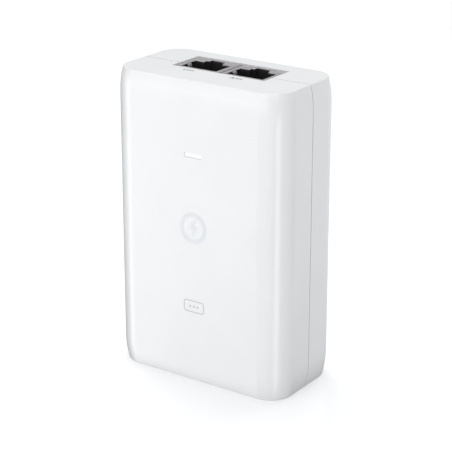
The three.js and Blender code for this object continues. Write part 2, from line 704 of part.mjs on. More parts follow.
function mainsInlet() {
  const half = INLET_DEPTH / 2;
  const housing = centredBlock(INLET_WIDTH, [-half, half], [0, INLET_LENGTH]);
  const rowY = PIN_PLACES.line[1];
  const lobes = Object.values(PIN_PLACES).map(([x, y]) =>
    rod(LOBE_RADIUS, "z", [-1, INLET_CAVITY], 28).translate([x, y, 0]),
  );
  const middle = centredBlock(2 * PIN_SPREAD, [rowY - 0.8 * LOBE_RADIUS, rowY + 3], [-1, INLET_CAVITY]);
  const holes = Object.values(PIN_PLACES).map(([x, y]) =>
    rod(PIN_RADIUS + PIN_CLEARANCE, "z", [INLET_CAVITY - 1, INLET_LENGTH + 1]).translate([x, y, 0]),
  );
  const pin = turned([
    [0, 0],
    [PIN_RADIUS * 0.55, 0],
    [PIN_RADIUS, 0.9],
    [PIN_RADIUS, PIN_LENGTH],
    [0, PIN_LENGTH],
  ], 20);
  const pinGeometry = geometryOf(pin);
  const pins = Object.entries(PIN_PLACES).map(([role, [x, y]]) =>
    piece(`inlet_pin_${role}`, pinGeometry, PIN_METAL, [x, y, PIN_TIP_DEPTH]),
  );
  return assembly(
    [0, INLET_Y, INLET_RECESS],
    piece("inlet_housing", cut(housing, union(...lobes, middle), ...holes), BLACK_PLASTIC),
    ...pins,
  );
}

// ---------------------------------------------------------------- board, sheet and screws

function circuitBoard() {
  const ends = [WALL + BOARD_END_GAP, CASE_HEIGHT - WALL - BOARD_END_GAP];
  const board = centredBlock(2 * BOARD_HALF_WIDTH, [BOARD_FRONT_Y, BOARD_BACK_Y], ends);
  const holes = (radius) =>
    SCREW_PLACES.map(([x, z]) => rod(radius, "y", [0, CASE_DEPTH], 20).translate([x, 0, z]));
  const sheet = centredBlock(
    2 * (BOARD_HALF_WIDTH - SHEET_INSET),
    [SHEET_Y, SHEET_Y + SHEET_THICKNESS],
    [ends[0] + SHEET_INSET, ends[1] - SHEET_INSET],
  );
  const head = turned([
    [0, 0],
    [SCREW_SHANK_RADIUS, 0],
    [SCREW_SHANK_RADIUS, SCREW_LENGTH],
    [SCREW_HEAD_RADIUS, SCREW_LENGTH],
    [SCREW_HEAD_RADIUS, SCREW_LENGTH + 0.7 * SCREW_HEAD_HEIGHT],
    [0.8 * SCREW_HEAD_RADIUS, SCREW_LENGTH + SCREW_HEAD_HEIGHT],
    [0, SCREW_LENGTH + SCREW_HEAD_HEIGHT],
  ], 20);
  const drive = SCREW_LENGTH + 0.45 * SCREW_HEAD_HEIGHT;
  const bar = block([-1.3, 1.3], [-0.3, 0.3], [drive, SCREW_LENGTH + 2 * SCREW_HEAD_HEIGHT]);
  const screw = geometryOf(cut(head, bar, bar.rotate([0, 0, 90])).rotate([90, 0, 0]));
  const screws = SCREW_PLACES.map(([x, z], i) =>
    piece(`board_screw_${i + 1}`, screw, SCREW_STEEL, [x, SEAT_Y + SCREW_LENGTH, z]),
  );
  return assembly(
    [0, 0, 0],
    piece("main_board", cut(board, ...holes(SCREW_SHANK_RADIUS + SCREW_CLEARANCE)), BOARD_GREEN),
    piece("insulation_sheet", cut(sheet, ...holes(BOSS_RADIUS + SCREW_CLEARANCE)), BARRIER_SHEET),
    ...screws,
  );
}

// ---------------------------------------------------------------- components on the board

// Every component is drawn with y = 0 at its seat on the board and stands towards -Y.
const onBoard = (name, shape, material, x, z) => piece(name, shape, material, [x, SEAT_Y, z]);

// A box of a width, a length up the board and a height off it.
const boxed = (width, length, height, lift = 0) =>
  centredBlock(width, [-lift - height, -lift], [-length / 2, length / 2]);
const standing = ({ width, length, height }, lift = 0) => boxed(width, length, height, lift);

function fuse() {
  const end = FUSE.length / 2;
  const cap = end - FUSE.capLength;
  const profile = [
    [0, -end],
    [FUSE.capRadius, -end],
    [FUSE.capRadius, -cap],
    [FUSE.radius, -cap],
    [FUSE.radius, cap],
    [FUSE.capRadius, cap],
    [FUSE.capRadius, end],
    [0, end],
  ];
  return turned(profile, 20).translate([0, -FUSE.axis, 0]);
}

// A dipped disc on two short leads, standing across the board.
function dippedDisc({ radius, thickness }, direction) {
  const middle = -radius - DISC_STAND;
  const disc = rod(radius, direction, [-thickness / 2, thickness / 2]).translate([0, middle, 0]);
  const leads = [-radius / 2, radius / 2].map((offset) => {
    const lead = rod(LEAD_RADIUS, "y", [-2 * DISC_STAND, 0], 8);
    return direction === "z" ? lead.translate([offset, 0, 0]) : lead.translate([0, 0, offset]);
  });
  return union(disc, ...leads);
}

// An electrolytic can standing on its leads' end, with the crimped neck near the board.
function electrolytic({ radius, height }) {
  const can = turned([
    [0, 0.3],
    [radius - 0.3, 0.3],
    [radius, 0.8],
    [radius, 2.2],
    [radius - 0.45, 2.8],
    [radius, 3.4],
    [radius, height - 0.5],
    [radius - 0.5, height],
    [0, height],
  ], 28);
  return can.rotate([90, 0, 0]);
}

// A ring core, and two hollow windings that wrap its sides with a clearance.
function filterChoke(x, z) {
  const ring = (grow) => {
    const inner = CHOKE.inner - grow;
    const outer = CHOKE.outer + grow;
    const half = CHOKE.half + grow;
    return turned([
      [inner, -half],
      [outer, -half],
      [outer, half],
      [inner, half],
      [inner, -half],
    ], 28);
  };
  const wrap = cut(ring(CHOKE.gap + CHOKE.winding), ring(CHOKE.gap));
  const beside = block([CHOKE.spread, REACH], [-REACH, REACH], [-REACH, REACH]);
  const [right, left] = bothSides(wrap.intersect(beside));
  return assembly(
    [x, SEAT_Y - CHOKE.axis, z],
    piece("choke_core", ring(0), FERRITE),
    piece("choke_winding_left", left, COPPER_WIRE),
    piece("choke_winding_right", right, COPPER_WIRE),
  );
}

// A flat power package on legs, with its metal tab towards a heat sink on its +X side.
function powerPackage() {
  const half = PACKAGE.width / 2;
  const body = block([-PACKAGE.thickness, 0], [-PACKAGE.top, -PACKAGE.foot], [-half, half]);
  const tab = block([-PACKAGE.tabThickness, 0], [-PACKAGE.tabTop, 1 - PACKAGE.top], [-half, half]);
  const legs = [-PACKAGE_LEG_PITCH, 0, PACKAGE_LEG_PITCH].map((z) =>
    block([-2.6, -2], [-PACKAGE.foot - 0.5, 0], [z - 0.5, z + 0.5]),
  );
  return union(body, tab, ...legs);
}

// A bent aluminium plate beside the board's +X edge: a wall with a flange over the components.
function heatSink(length) {
  const section = polygon([
    [0, 0],
    [-SINK.flange, 0],
    [-SINK.flange, SINK.flangeThickness],
    [-SINK.wall, SINK.flangeThickness],
    [-SINK.wall, SINK.height],
    [0, SINK.height],
  ]);
  return extruded(section, "z", [-length / 2, length / 2]).translate([0, -SINK.height, 0]);
}

// A ferrite core of two E halves round a wound and taped bobbin.
function transformer(x, z) {
  const half = TRANSFORMER.height / 2 - TRANSFORMER.yoke;
  const innerEdge = TRANSFORMER.limb / 2;
  const outerEdge = TRANSFORMER.width / 2 - TRANSFORMER.side;
  const across = [-TRANSFORMER.length, TRANSFORMER.length];
  const core = cut(
    boxed(TRANSFORMER.width, TRANSFORMER.length, TRANSFORMER.height, -TRANSFORMER.height / 2),
    block([innerEdge, outerEdge], [-half, half], across),
    block([-outerEdge, -innerEdge], [-half, half], across),
  );
  const { width, length, height, gap } = TRANSFORMER_COIL;
  const winding = cut(
    boxed(width, length, height, -height / 2),
    boxed(TRANSFORMER.limb + 2 * gap, TRANSFORMER.length + 2 * gap, 2 * height, -height),
  );
  return assembly(
    [x, SEAT_Y, z],
    piece("transformer_core", core, FERRITE, [0, -TRANSFORMER.axis, 0]),
    piece("transformer_winding", winding, TAPE_YELLOW, [0, -TRANSFORMER.axis, 0]),
    piece("transformer_base", standing(TRANSFORMER_BASE), BLACK_PLASTIC),
  );
}

function bridgeRectifier() {
  const body = standing(BRIDGE, BRIDGE.stand);
  const legs = [-1.5, -0.5, 0.5, 1.5].map((place) => {
    const x = place * BRIDGE.legPitch;
    return block([x - 0.5, x + 0.5], [-BRIDGE.stand - 0.6, 0], [-LEAD_RADIUS, LEAD_RADIUS]);
  });
  return union(body, ...legs);
}

function chipWithLegs(chip) {
  const pitch = (0.9 * chip.length) / chip.legs;
  const legs = Array.from({ length: chip.legs }, (_, i) => {
    const z = (i - (chip.legs - 1) / 2) * pitch;
    return centredBlock(
      chip.width + 2 * CHIP_LEG.reach,
      [-CHIP_LEG.height, 0],
      [z - CHIP_LEG.width / 2, z + CHIP_LEG.width / 2],
    );
  });
  return union(standing(chip, CHIP_STAND), ...legs);
}

function drumChoke() {
  const { radius, flangeRadius, flange, height } = OUTPUT_DRUM;
  const drum = turned([
    [0, 0],
    [flangeRadius, 0],
    [flangeRadius, flange],
    [radius, flange],
    [radius, height - flange],
    [flangeRadius, height - flange],
    [flangeRadius, height],
    [0, height],
  ], 24);
  return drum.rotate([90, 0, 0]);
}

// The mains side is placed from the inlet up, and the output side from the jacks down.
function components() {
  const sinkX = BOARD_HALF_WIDTH - 0.9;
  const packageX = sinkX - 1.8;
  const aboveInlet = (rise) => INLET_RECESS + INLET_LENGTH + rise;
  const belowJacks = (drop) => JACK_BOTTOM_Z - drop;
  const mirrored = (shape) => bothSides(shape)[1];
  const besideInlet = INLET_WIDTH / 2;
  return assembly(
    [0, 0, 0],
    onBoard("fuse", fuse(), GLASS_TUBE, -besideInlet - 5.3, 13.6),
    onBoard("surge_suppressor", dippedDisc(SURGE_DISC, "x"), CERAMIC_BLUE, besideInlet + 6.8, 11.5),
    onBoard("filter_capacitor", standing(FILTER_BOX), FILM_GREY, -13.5, aboveInlet(13)),
    filterChoke(13.5, aboveInlet(8.7)),
    onBoard("bridge_rectifier", bridgeRectifier(), BLACK_PLASTIC, -10.5, aboveInlet(21.9)),
    onBoard("bulk_capacitor", electrolytic(BULK_CAN), CAPACITOR_SLEEVE, 15.5, aboveInlet(23.2)),
    onBoard("primary_heat_sink", mirrored(heatSink(MAINS_SINK_LENGTH)), ALUMINIUM, -sinkX, belowJacks(25.4)),
    onBoard("switching_transistor", mirrored(powerPackage()), BLACK_PLASTIC, -packageX, belowJacks(25.4)),
    transformer(-3, belowJacks(23.4)),
    onBoard("safety_capacitor", dippedDisc(SAFETY_DISC, "z"), CERAMIC_BLUE, 16, belowJacks(28.3)),
    onBoard("output_heat_sink", heatSink(OUTPUT_SINK_LENGTH), ALUMINIUM, sinkX, belowJacks(19.4)),
    onBoard("output_rectifier", powerPackage(), BLACK_PLASTIC, packageX, belowJacks(19.4)),
    onBoard("output_capacitor_lower", electrolytic(OUTPUT_CAN), CAPACITOR_SLEEVE, 15.6, belowJacks(21.6)),
    onBoard("output_capacitor_upper", electrolytic(OUTPUT_CAN), CAPACITOR_SLEEVE, 15.6, belowJacks(13)),
    onBoard("output_choke", drumChoke(), FERRITE, 9, belowJacks(6)),
    onBoard("optocoupler", chipWithLegs(OPTOCOUPLER), BLACK_PLASTIC, -22.2, belowJacks(11.4)),
    onBoard("line_magnetics", chipWithLegs(MAGNETICS), BLACK_PLASTIC, -10.5, belowJacks(6)),
    onBoard("supply_controller", chipWithLegs(CONTROLLER), BLACK_PLASTIC, 18, belowJacks(4.4)),
  );
}

// ---------------------------------------------------------------- wall bracket

// The plate with its side tabs, its release tongue and two countersunk screw holes. It rests at the top
// of its recess, and slides down by its travel until the tabs reach the gaps in the rails.
function wallBracket() {
  const half = BRACKET_WIDTH / 2;
  const outer = BACK_Y;
  const inner = BACK_Y - BRACKET_THICKNESS;
  const tongueHalf = TONGUE_WIDTH / 2;
  const plate = centredBlock(BRACKET_WIDTH, [inner, outer], [BRACKET_BOTTOM, BRACKET_TOP]);
  const tongue = centredBlock(
    TONGUE_WIDTH,
    [inner, outer],
    [BRACKET_BOTTOM - TONGUE_BELOW, BRACKET_BOTTOM + 1],
  );
  const slots = [-1, 1].map((side) => {
    const middle = side * (tongueHalf + TONGUE_SLOT / 2);
    return block(
      [middle - TONGUE_SLOT / 2, middle + TONGUE_SLOT / 2],
      [inner - 1, outer + 1],
      [BRACKET_BOTTOM - 1, BRACKET_BOTTOM + TONGUE_ROOT],
    );
  });
  const grips = [1.2, 2.6, 4].map((rise) => {
    const z = BRACKET_BOTTOM - TONGUE_BELOW + rise;
    return centredBlock(TONGUE_WIDTH - 3, [outer - 0.4, outer + 1], [z - 0.3, z + 0.3]);
  });
  const tabY = [RECESS_FLOOR_Y + TAB_CLEARANCE, RECESS_FLOOR_Y + TAB_CLEARANCE + TAB_THICKNESS];
  const tabs = TAB_LEVELS.map((z) =>
    centredBlock(2 * (half + TAB_REACH), tabY, [z, z + TAB_LENGTH]),
  );
  const holes = BRACKET_HOLE_LEVELS.map((z) => {
    const bore = turned([
      [0, -1],
      [COUNTERSINK_RADIUS, -1],
      [COUNTERSINK_RADIUS, 0],
      [BRACKET_HOLE_RADIUS, BRACKET_THICKNESS - COUNTERSINK_LAND],
      [BRACKET_HOLE_RADIUS, BRACKET_THICKNESS + 1],
      [0, BRACKET_THICKNESS + 1],
    ]);
    return bore.rotate([-90, 0, 0]).translate([0, inner, z]);
  });
  const arrow = extruded(
    polygon([
      [-3, 57.5],
      [3, 57.5],
      [0, 62.7],
    ]),
    "y",
    [outer - 0.4, outer + 1],
  );
  const shape = cut(union(plate, tongue, ...tabs), ...slots, ...grips, ...holes, arrow);
  return piece("wall_bracket", shape, WHITE_SHELL);
}

// ---------------------------------------------------------------- the injector

const injector = new THREE.Group();
injector.add(
  piece("front_cover", frontCover(), WHITE_SHELL),
  piece("rear_cover", rearCover(), WHITE_SHELL),
  statusLight(),
  modularJack("poe", -JACK_PITCH / 2),
  modularJack("lan", JACK_PITCH / 2),
  mainsInlet(),
  circuitBoard(),
  components(),
  wallBracket(),
);

export default injector;
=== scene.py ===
"""Looks of a mains-powered PoE injector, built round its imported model.

Metres, +Z up, front towards -Y, origin at the middle of the base. The case's covers, the jacks, the light,
the printed marks, the board and its components are built here as finished meshes with procedural materials.
"""
import json
import logging
import math
from dataclasses import dataclass, field
from enum import Enum
from typing import Any, Sequence

import bmesh
import bpy
from mathutils import Matrix, Vector


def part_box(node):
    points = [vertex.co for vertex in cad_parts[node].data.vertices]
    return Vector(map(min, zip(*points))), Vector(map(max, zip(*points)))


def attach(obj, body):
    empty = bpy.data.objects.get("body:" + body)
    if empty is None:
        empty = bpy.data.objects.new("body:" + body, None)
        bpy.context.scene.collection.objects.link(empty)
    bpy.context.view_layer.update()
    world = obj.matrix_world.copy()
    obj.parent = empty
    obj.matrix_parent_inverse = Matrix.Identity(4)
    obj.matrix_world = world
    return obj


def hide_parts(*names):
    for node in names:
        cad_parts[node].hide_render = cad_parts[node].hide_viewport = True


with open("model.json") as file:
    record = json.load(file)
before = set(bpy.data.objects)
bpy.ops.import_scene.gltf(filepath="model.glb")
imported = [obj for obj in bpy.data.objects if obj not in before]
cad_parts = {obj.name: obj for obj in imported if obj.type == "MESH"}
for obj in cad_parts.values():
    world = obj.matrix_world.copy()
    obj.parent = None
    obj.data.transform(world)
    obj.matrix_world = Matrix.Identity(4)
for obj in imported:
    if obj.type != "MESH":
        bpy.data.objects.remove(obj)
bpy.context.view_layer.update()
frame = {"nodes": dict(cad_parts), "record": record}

LOG = logging.getLogger("injector")
HOUSING = "housing"
BRACKET = "wall_bracket"
Span = tuple[float, float]
Point = tuple[float, float]
Colour = tuple[float, float, float]
SHARP = math.radians(38)  # an edge that bends more than this is rounded
CREASE = math.radians(50)  # an edge that bends more than this stays sharp in the shading
WELD = 1e-6
TINY = 1e-5


# ---------------------------------------------------------------- node trees

class Field:
    """A value that a node tree works out, with arithmetic written in the usual way."""

    def __init__(self, graph: "Graph", socket: bpy.types.NodeSocket) -> None:
        """Wraps one output socket of the graph."""
        self.graph = graph
        self.socket = socket

    def math(self, operation: str, *others: Any) -> "Field":
        """Applies a Math node.

        Args:
            operation: the Math node's operation.
            others: its further values, each a field or a number.

        Returns:
            The node's result.
        """
        node = self.graph.add("ShaderNodeMath", operation=operation)
        for place, value in enumerate((self, *others)):
            self.graph.feed(node.inputs[place], value)
        return Field(self.graph, node.outputs[0])

    def __add__(self, other: Any) -> "Field":
        """The sum."""
        return self.math("ADD", other)

    def __sub__(self, other: Any) -> "Field":
        """The difference."""
        return self.math("SUBTRACT", other)

    def __mul__(self, other: Any) -> "Field":
        """The product."""
        return self.math("MULTIPLY", other)

    def __truediv__(self, other: Any) -> "Field":
        """The quotient."""
        return self.math("DIVIDE", other)


class Graph:
    """A node tree of any kind, with short ways to add and join nodes."""

    def __init__(self, tree: bpy.types.NodeTree) -> None:
        """Takes over the tree and empties it."""
        self.tree = tree
        tree.nodes.clear()

    def add(self, kind: str, **settings: Any) -> bpy.types.Node:
        """Adds a node.

        Args:
            kind: the node's type name.
            settings: properties to set on it.

        Returns:
            The new node.
        """
        node = self.tree.nodes.new(kind)
        for name, value in settings.items():
            setattr(node, name, value)
        return node

    def feed(self, target: bpy.types.NodeSocket, value: Any) -> None:
        """Gives a socket its value.

        Args:
            target: the input socket.
            value: a field or an output socket to link, or a plain value to store.
        """
        if isinstance(value, Field):
            self.tree.links.new(value.socket, target)
        elif isinstance(value, bpy.types.NodeSocket):
            self.tree.links.new(value, target)
        else:
            target.default_value = value

    def call(
        self, kind: str, output: int | str = 0, settings: dict[str, Any] | None = None, **inputs: Any
    ) -> Field:
        """Adds a node, feeds its inputs and takes one output.

        Args:
            kind: the node's type name.
            output: the output's place or name.
            settings: properties to set on the node.
            inputs: a value for each input, by its name with spaces as underscores.

        Returns:
            The chosen output.
        """
        node = self.add(kind, **(settings or {}))
        for name, value in inputs.items():
            self.feed(node.inputs[name.replace("_", " ")], value)
        return Field(self, node.outputs[output])

    def number(self, value: float) -> Field:
        """A plain number as a field."""
        node = self.add("ShaderNodeValue")
        node.outputs[0].default_value = value
        return Field(self, node.outputs[0])


class Recipe(Graph):
    """A Geometry Nodes tree with named sizes, which turns into plain meshes."""

    KINDS = {
        int: "NodeSocketInt",
        float: "NodeSocketFloat",
        bpy.types.Object: "NodeSocketObject",
        bpy.types.Material: "NodeSocketMaterial",
    }

    def __init__(self, name: str, **sizes: type) -> None:
        """Opens a tree.

        Args:
            name: the tree's name.
            sizes: the kind of each named input, with underscores for spaces.
        """
        super().__init__(bpy.data.node_groups.new(name, "GeometryNodeTree"))
        self.sockets: dict[str, str] = {}
        for title, kind in {**sizes, "Material": bpy.types.Material}.items():
            words = title.replace("_", " ")
            socket = self.tree.interface.new_socket(name=words, in_out="INPUT", socket_type=self.KINDS[kind])
            self.sockets[title] = socket.identifier
        self.tree.interface.new_socket(name="Geometry", in_out="OUTPUT", socket_type="NodeSocketGeometry")
        self.entry = self.add("NodeGroupInput")
        self.exit = self.add("NodeGroupOutput")

    def size(self, title: str) -> Field:
        """The named input as a field."""
        return Field(self, self.entry.outputs[title.replace("_", " ")])

    def finish(self, geometry: Field) -> "Recipe":
        """Ends the tree in real geometry with its material.

        Args:
            geometry: what the tree has made.

        Returns:
            This recipe.
        """
        real = self.call("GeometryNodeRealizeInstances", Geometry=geometry)
        dressed = self.call("GeometryNodeSetMaterial", Geometry=real, Material=self.size("Material"))
        self.feed(self.exit.inputs[0], dressed)
        return self

    def make(self, name: str, material: bpy.types.Material | None = None, **values: Any) -> bpy.types.Object:
        """Runs the tree.

        Args:
            name: the new object's name.
            material: the material that the tree sets.
            values: a value for each named input.

        Returns:
            An object with a plain mesh and no modifier.
        """
        thing = link(bpy.data.objects.new(name, bpy.data.meshes.new(name)))
        modifier = thing.modifiers.new("recipe", "NODES")
        modifier.node_group = self.tree
        for title, value in {**values, "Material": material}.items():
            modifier[self.sockets[title]] = value
        return bake(thing)


# ---------------------------------------------------------------- meshes

def link(thing: bpy.types.Object) -> bpy.types.Object:
    """Puts an object in the scene and returns it."""
    bpy.context.scene.collection.objects.link(thing)
    return thing


def bake(thing: bpy.types.Object) -> bpy.types.Object:
    """Turns an object's modifiers into plain mesh.

    Args:
        thing: the object, whose modifiers are removed.

    Returns:
        The same object.
    """
    ready = thing.evaluated_get(bpy.context.evaluated_depsgraph_get())
    mesh = bpy.data.meshes.new_from_object(ready)
    mesh.name = thing.name
    thing.modifiers.clear()
    thing.data = mesh
    return thing


def from_bmesh(name: str, shape: bmesh.types.BMesh) -> bpy.types.Object:
    """Makes an object of a bmesh, with its faces turned outwards.

    Args:
        name: the object's name.
        shape: the bmesh, which is freed.

    Returns:
        The object.
    """
    bmesh.ops.recalc_face_normals(shape, faces=shape.faces)
    mesh = bpy.data.meshes.new(name)
    shape.to_mesh(mesh)
    shape.free()
    return link(bpy.data.objects.new(name, mesh))


class Axis(Enum):
    """The way a prism or a rod runs; each value turns a drawing in (x, y) to stand across that axis."""

    X = Matrix(((0, 0, 1, 0), (1, 0, 0, 0), (0, 1, 0, 0), (0, 0, 0, 1)))
    Y = Matrix(((1, 0, 0, 0), (0, 0, 1, 0), (0, 1, 0, 0), (0, 0, 0, 1)))
    Z = Matrix.Identity(4)


def prism(outline: Sequence[Point], axis: Axis, span: Span, name: str = "prism") -> bpy.types.Object:
    """Pushes a flat outline along an axis.

    Args:
        outline: its points, in (y, z) for X, (x, z) for Y and (x, y) for Z.
        axis: the way it is pushed.
        span: where it starts and ends along the axis.
        name: the object's name.

    Returns:
        A closed solid.
    """
    shape = bmesh.new()
    rings = [[shape.verts.new((u, v, w)) for u, v in outline] for w in span]
    count = len(outline)
    for i in range(count):
        j = (i + 1) % count
        shape.faces.new((rings[0][i], rings[0][j], rings[1][j], rings[1][i]))
    shape.faces.new(rings[0][::-1])
    shape.faces.new(rings[1])
    shape.transform(axis.value)
    return from_bmesh(name, shape)


def rectangle(u: Span, v: Span) -> list[Point]:
    """Gives the outline of a rectangle between two limits each way."""
    return [(u[0], v[0]), (u[1], v[0]), (u[1], v[1]), (u[0], v[1])]


def block(x: Span, y: Span, z: Span) -> bpy.types.Object:
    """Makes a box between two limits on each axis."""
    return prism(rectangle(x, y), Axis.Z, z)


def arc(centre: Point, radius: float, start: float, end: float, steps: int) -> list[Point]:
    """Gives points along a circular arc.

    Args:
        centre: its centre.
        radius: its radius.
        start: the angle of its first point, in degrees.
        end: the angle of its last point, in degrees.
        steps: how many straight lines it's made of.

    Returns:
        The points, with both ends.
    """
    angles = [math.radians(start + (end - start) * i / steps) for i in range(steps + 1)]
    return [(centre[0] + radius * math.cos(a), centre[1] + radius * math.sin(a)) for a in angles]


def rounded(width: float, height: float, radius: float, steps: int = 6) -> list[Point]:
    """Gives the outline of a rectangle with round corners, centred on the origin.

    Args:
        width: its width.
        height: its height.
        radius: the radius of its corners.
        steps: straight lines round each corner.

    Returns:
        The outline's points.
    """
    u, v = width / 2 - radius, height / 2 - radius
    corners = [((u, v), 0), ((-u, v), 90), ((-u, -v), 180), ((u, -v), 270)]
    return [p for centre, turn in corners for p in arc(centre, radius, turn, turn + 90, steps)]


def circle(radius: float, centre: Point = (0, 0), steps: int = 32) -> list[Point]:
    """Gives points round a circle."""
    return arc(centre, radius, 0, 360 * (steps - 1) / steps, steps - 1)


def moved(outline: Sequence[Point], right: float, up: float) -> list[Point]:
    """Gives an outline that is shifted in its own plane."""
    return [(u + right, v + up) for u, v in outline]


class Join(Enum):
    """How a second solid changes the first."""

    ADD = "UNION"
    CUT = "DIFFERENCE"
    KEEP = "INTERSECT"


def combine(base: bpy.types.Object, how: Join, *tools: bpy.types.Object) -> bpy.types.Object:
    """Joins, cuts or trims a solid by others.

    Args:
        base: the solid that changes.
        how: what the others do to it.
        tools: the other solids, which are used up.

    Returns:
        The changed solid.
    """
    for tool in tools:
        modifier = base.modifiers.new("combine", "BOOLEAN")
        modifier.operation = how.value
        modifier.solver = "MANIFOLD"
        modifier.object = tool
        bake(base)
        bpy.data.objects.remove(tool)
    return base


def mirrored(thing: bpy.types.Object) -> bpy.types.Object:
    """Makes a copy of a solid on the other side of x = 0."""
    shape = bmesh.new()
    shape.from_mesh(thing.data)
    shape.transform(Matrix.Scale(-1, 4, (1, 0, 0)))
    return from_bmesh(thing.name, shape)


def soften(
    thing: bpy.types.Object, width: float, marked: bool = False, segments: int = 3
) -> bpy.types.Object:
    """Rounds a solid's sharp edges and evens its shading.

    Args:
        thing: the solid.
        width: how far each edge is taken back.
        marked: rounds only the edges with a bevel weight.
        segments: faces across each rounded edge.

    Returns:
        The same object as a plain mesh.
    """
    bevel = thing.modifiers.new("edges", "BEVEL")
    bevel.width = width
    bevel.segments = segments
    bevel.limit_method = "WEIGHT" if marked else "ANGLE"
    bevel.angle_limit = SHARP
    bevel.miter_outer = "MITER_ARC"
    bevel.use_clamp_overlap = not marked
    bake(thing)
    thing.data.shade_smooth()
    thing.data.set_sharp_from_angle(angle=CREASE)
    even = thing.modifiers.new("shading", "WEIGHTED_NORMAL")
    even.keep_sharp = True
    return bake(thing)


def refined(node: str, edge: float) -> bpy.types.Object:
    """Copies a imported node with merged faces, rounded edges and even shading.

    Args:
        node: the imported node's name.
        edge: how far its edges are rounded.

    Returns:
        The copy.
    """
    shape = bmesh.new()
    shape.from_mesh(frame["nodes"][node].data)
    bmesh.ops.remove_doubles(shape, verts=shape.verts, dist=WELD)
    bmesh.ops.dissolve_limit(shape, angle_limit=math.radians(0.5), verts=shape.verts, edges=shape.edges)
    mesh = bpy.data.meshes.new(node)
    shape.to_mesh(mesh)
    shape.free()
    return soften(link(bpy.data.objects.new(f"{node}_finished", mesh)), edge, segments=2)


def place(
    thing: bpy.types.Object, name: str, material: bpy.types.Material, *nodes: str,
    slot: str | None = None, body: str = HOUSING,
) -> bpy.types.Object:
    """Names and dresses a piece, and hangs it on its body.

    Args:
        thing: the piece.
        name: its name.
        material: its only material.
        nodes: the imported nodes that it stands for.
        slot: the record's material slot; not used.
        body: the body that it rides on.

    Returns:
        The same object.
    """
    thing.name = name
    thing.data.name = name
    thing.data.materials.clear()
    thing.data.materials.append(material)
    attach(thing, body)
    if nodes:
        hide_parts(*nodes)
    LOG.info("%s: %d faces", name, len(thing.data.polygons))
    return thing


# ---------------------------------------------------------------- recipes

END_CROWDING = 2.2  # above 1, the case's rings of faces lie closer together towards its ends


def case_recipe() -> Recipe:
    """Builds the rule for the case's form: a rounded box whose ends draw in along an arc.

    Returns:
        The recipe. Inset takes the whole form inwards, and Edge rounds its two end faces.
    """
    sizes = dict.fromkeys(
        ("Width", "Depth", "Height", "Corner", "Taper_Height", "Taper_Inset", "Inset", "Edge"), float
    )
    tree = Recipe("case_form", **sizes, Corner_Steps=int, Levels=int)
    steps = tree.size("Corner_Steps") + 1
    count = steps * 4
    drum = tree.add("GeometryNodeMeshCylinder", fill_type="NGON")
    values = {"Vertices": count, "Side Segments": tree.size("Levels"), "Radius": 1.0, "Depth": 2.0}
    for name, value in values.items():
        tree.feed(drum.inputs[name], value)
    spot = tree.add("ShaderNodeSeparateXYZ")
    tree.feed(spot.inputs[0], tree.add("GeometryNodeInputPosition").outputs[0])
    x, y, level = (Field(tree, socket) for socket in spot.outputs)
    turn = y.math("ARCTAN2", x) / math.tau
    index = ((turn + 1).math("FRACT") * count).math("ROUND").math("MODULO", count)
    corner = (index / steps).math("FLOOR")
    share = (index - corner * steps) / tree.size("Corner_Steps")
    angle = (corner + share) * (math.pi / 2)
    middle = (corner + 0.5) * (math.pi / 2)
    gap = tree.number(1.0) - level.math("ABSOLUTE")
    half = tree.size("Height") * 0.5 - tree.size("Inset")
    rise = level.math("SIGN") * half * (tree.number(1.0) - gap.math("POWER", END_CROWDING))
    from_end = tree.size("Height") * 0.5 - rise.math("ABSOLUTE")
    reach = tree.size("Taper_Height")
    sink = tree.size("Taper_Inset")
    radius = (reach * reach + sink * sink) / (sink * 2)
    climb = (reach - from_end).math("MAXIMUM", 0.0)
    edge = tree.size("Edge")
    lip = (edge - (from_end - tree.size("Inset"))).math("MAXIMUM", 0.0)
    drawn = radius - (radius * radius - climb * climb).math("SQRT")
    drawn = drawn + edge - (edge * edge - lip * lip).math("MAXIMUM", 0.0).math("SQRT")
    bend = tree.size("Corner") - drawn - tree.size("Inset")
    across = middle.math("COSINE").math("SIGN") * (tree.size("Width") * 0.5 - tree.size("Corner"))
    along = middle.math("SINE").math("SIGN") * (tree.size("Depth") * 0.5 - tree.size("Corner"))
    target = tree.call(
        "ShaderNodeCombineXYZ",
        X=across + bend * angle.math("COSINE"),
        Y=along + bend * angle.math("SINE"),
        Z=rise + tree.size("Height") * 0.5,
    )
    mesh = Field(tree, drum.outputs["Mesh"])
    return tree.finish(tree.call("GeometryNodeSetPosition", Geometry=mesh, Position=target))


def row_recipe() -> Recipe:
    """Builds the rule for a straight row of copies of one object, centred on that object's place.

    Returns:
        The recipe.
    """
    tree = Recipe("row", Item=bpy.types.Object, Count=int, Pitch=float)
    span = (tree.size("Count") - 1) * tree.size("Pitch")
    start = tree.call("ShaderNodeCombineXYZ", X=span * -0.5)
    step = tree.call("ShaderNodeCombineXYZ", X=tree.size("Pitch"))
    line = tree.call("GeometryNodeMeshLine", Count=tree.size("Count"), Start_Location=start, Offset=step)
    item = tree.call("GeometryNodeObjectInfo", output="Geometry", Object=tree.size("Item"))
    return tree.finish(tree.call("GeometryNodeInstanceOnPoints", Points=line, Instance=item))


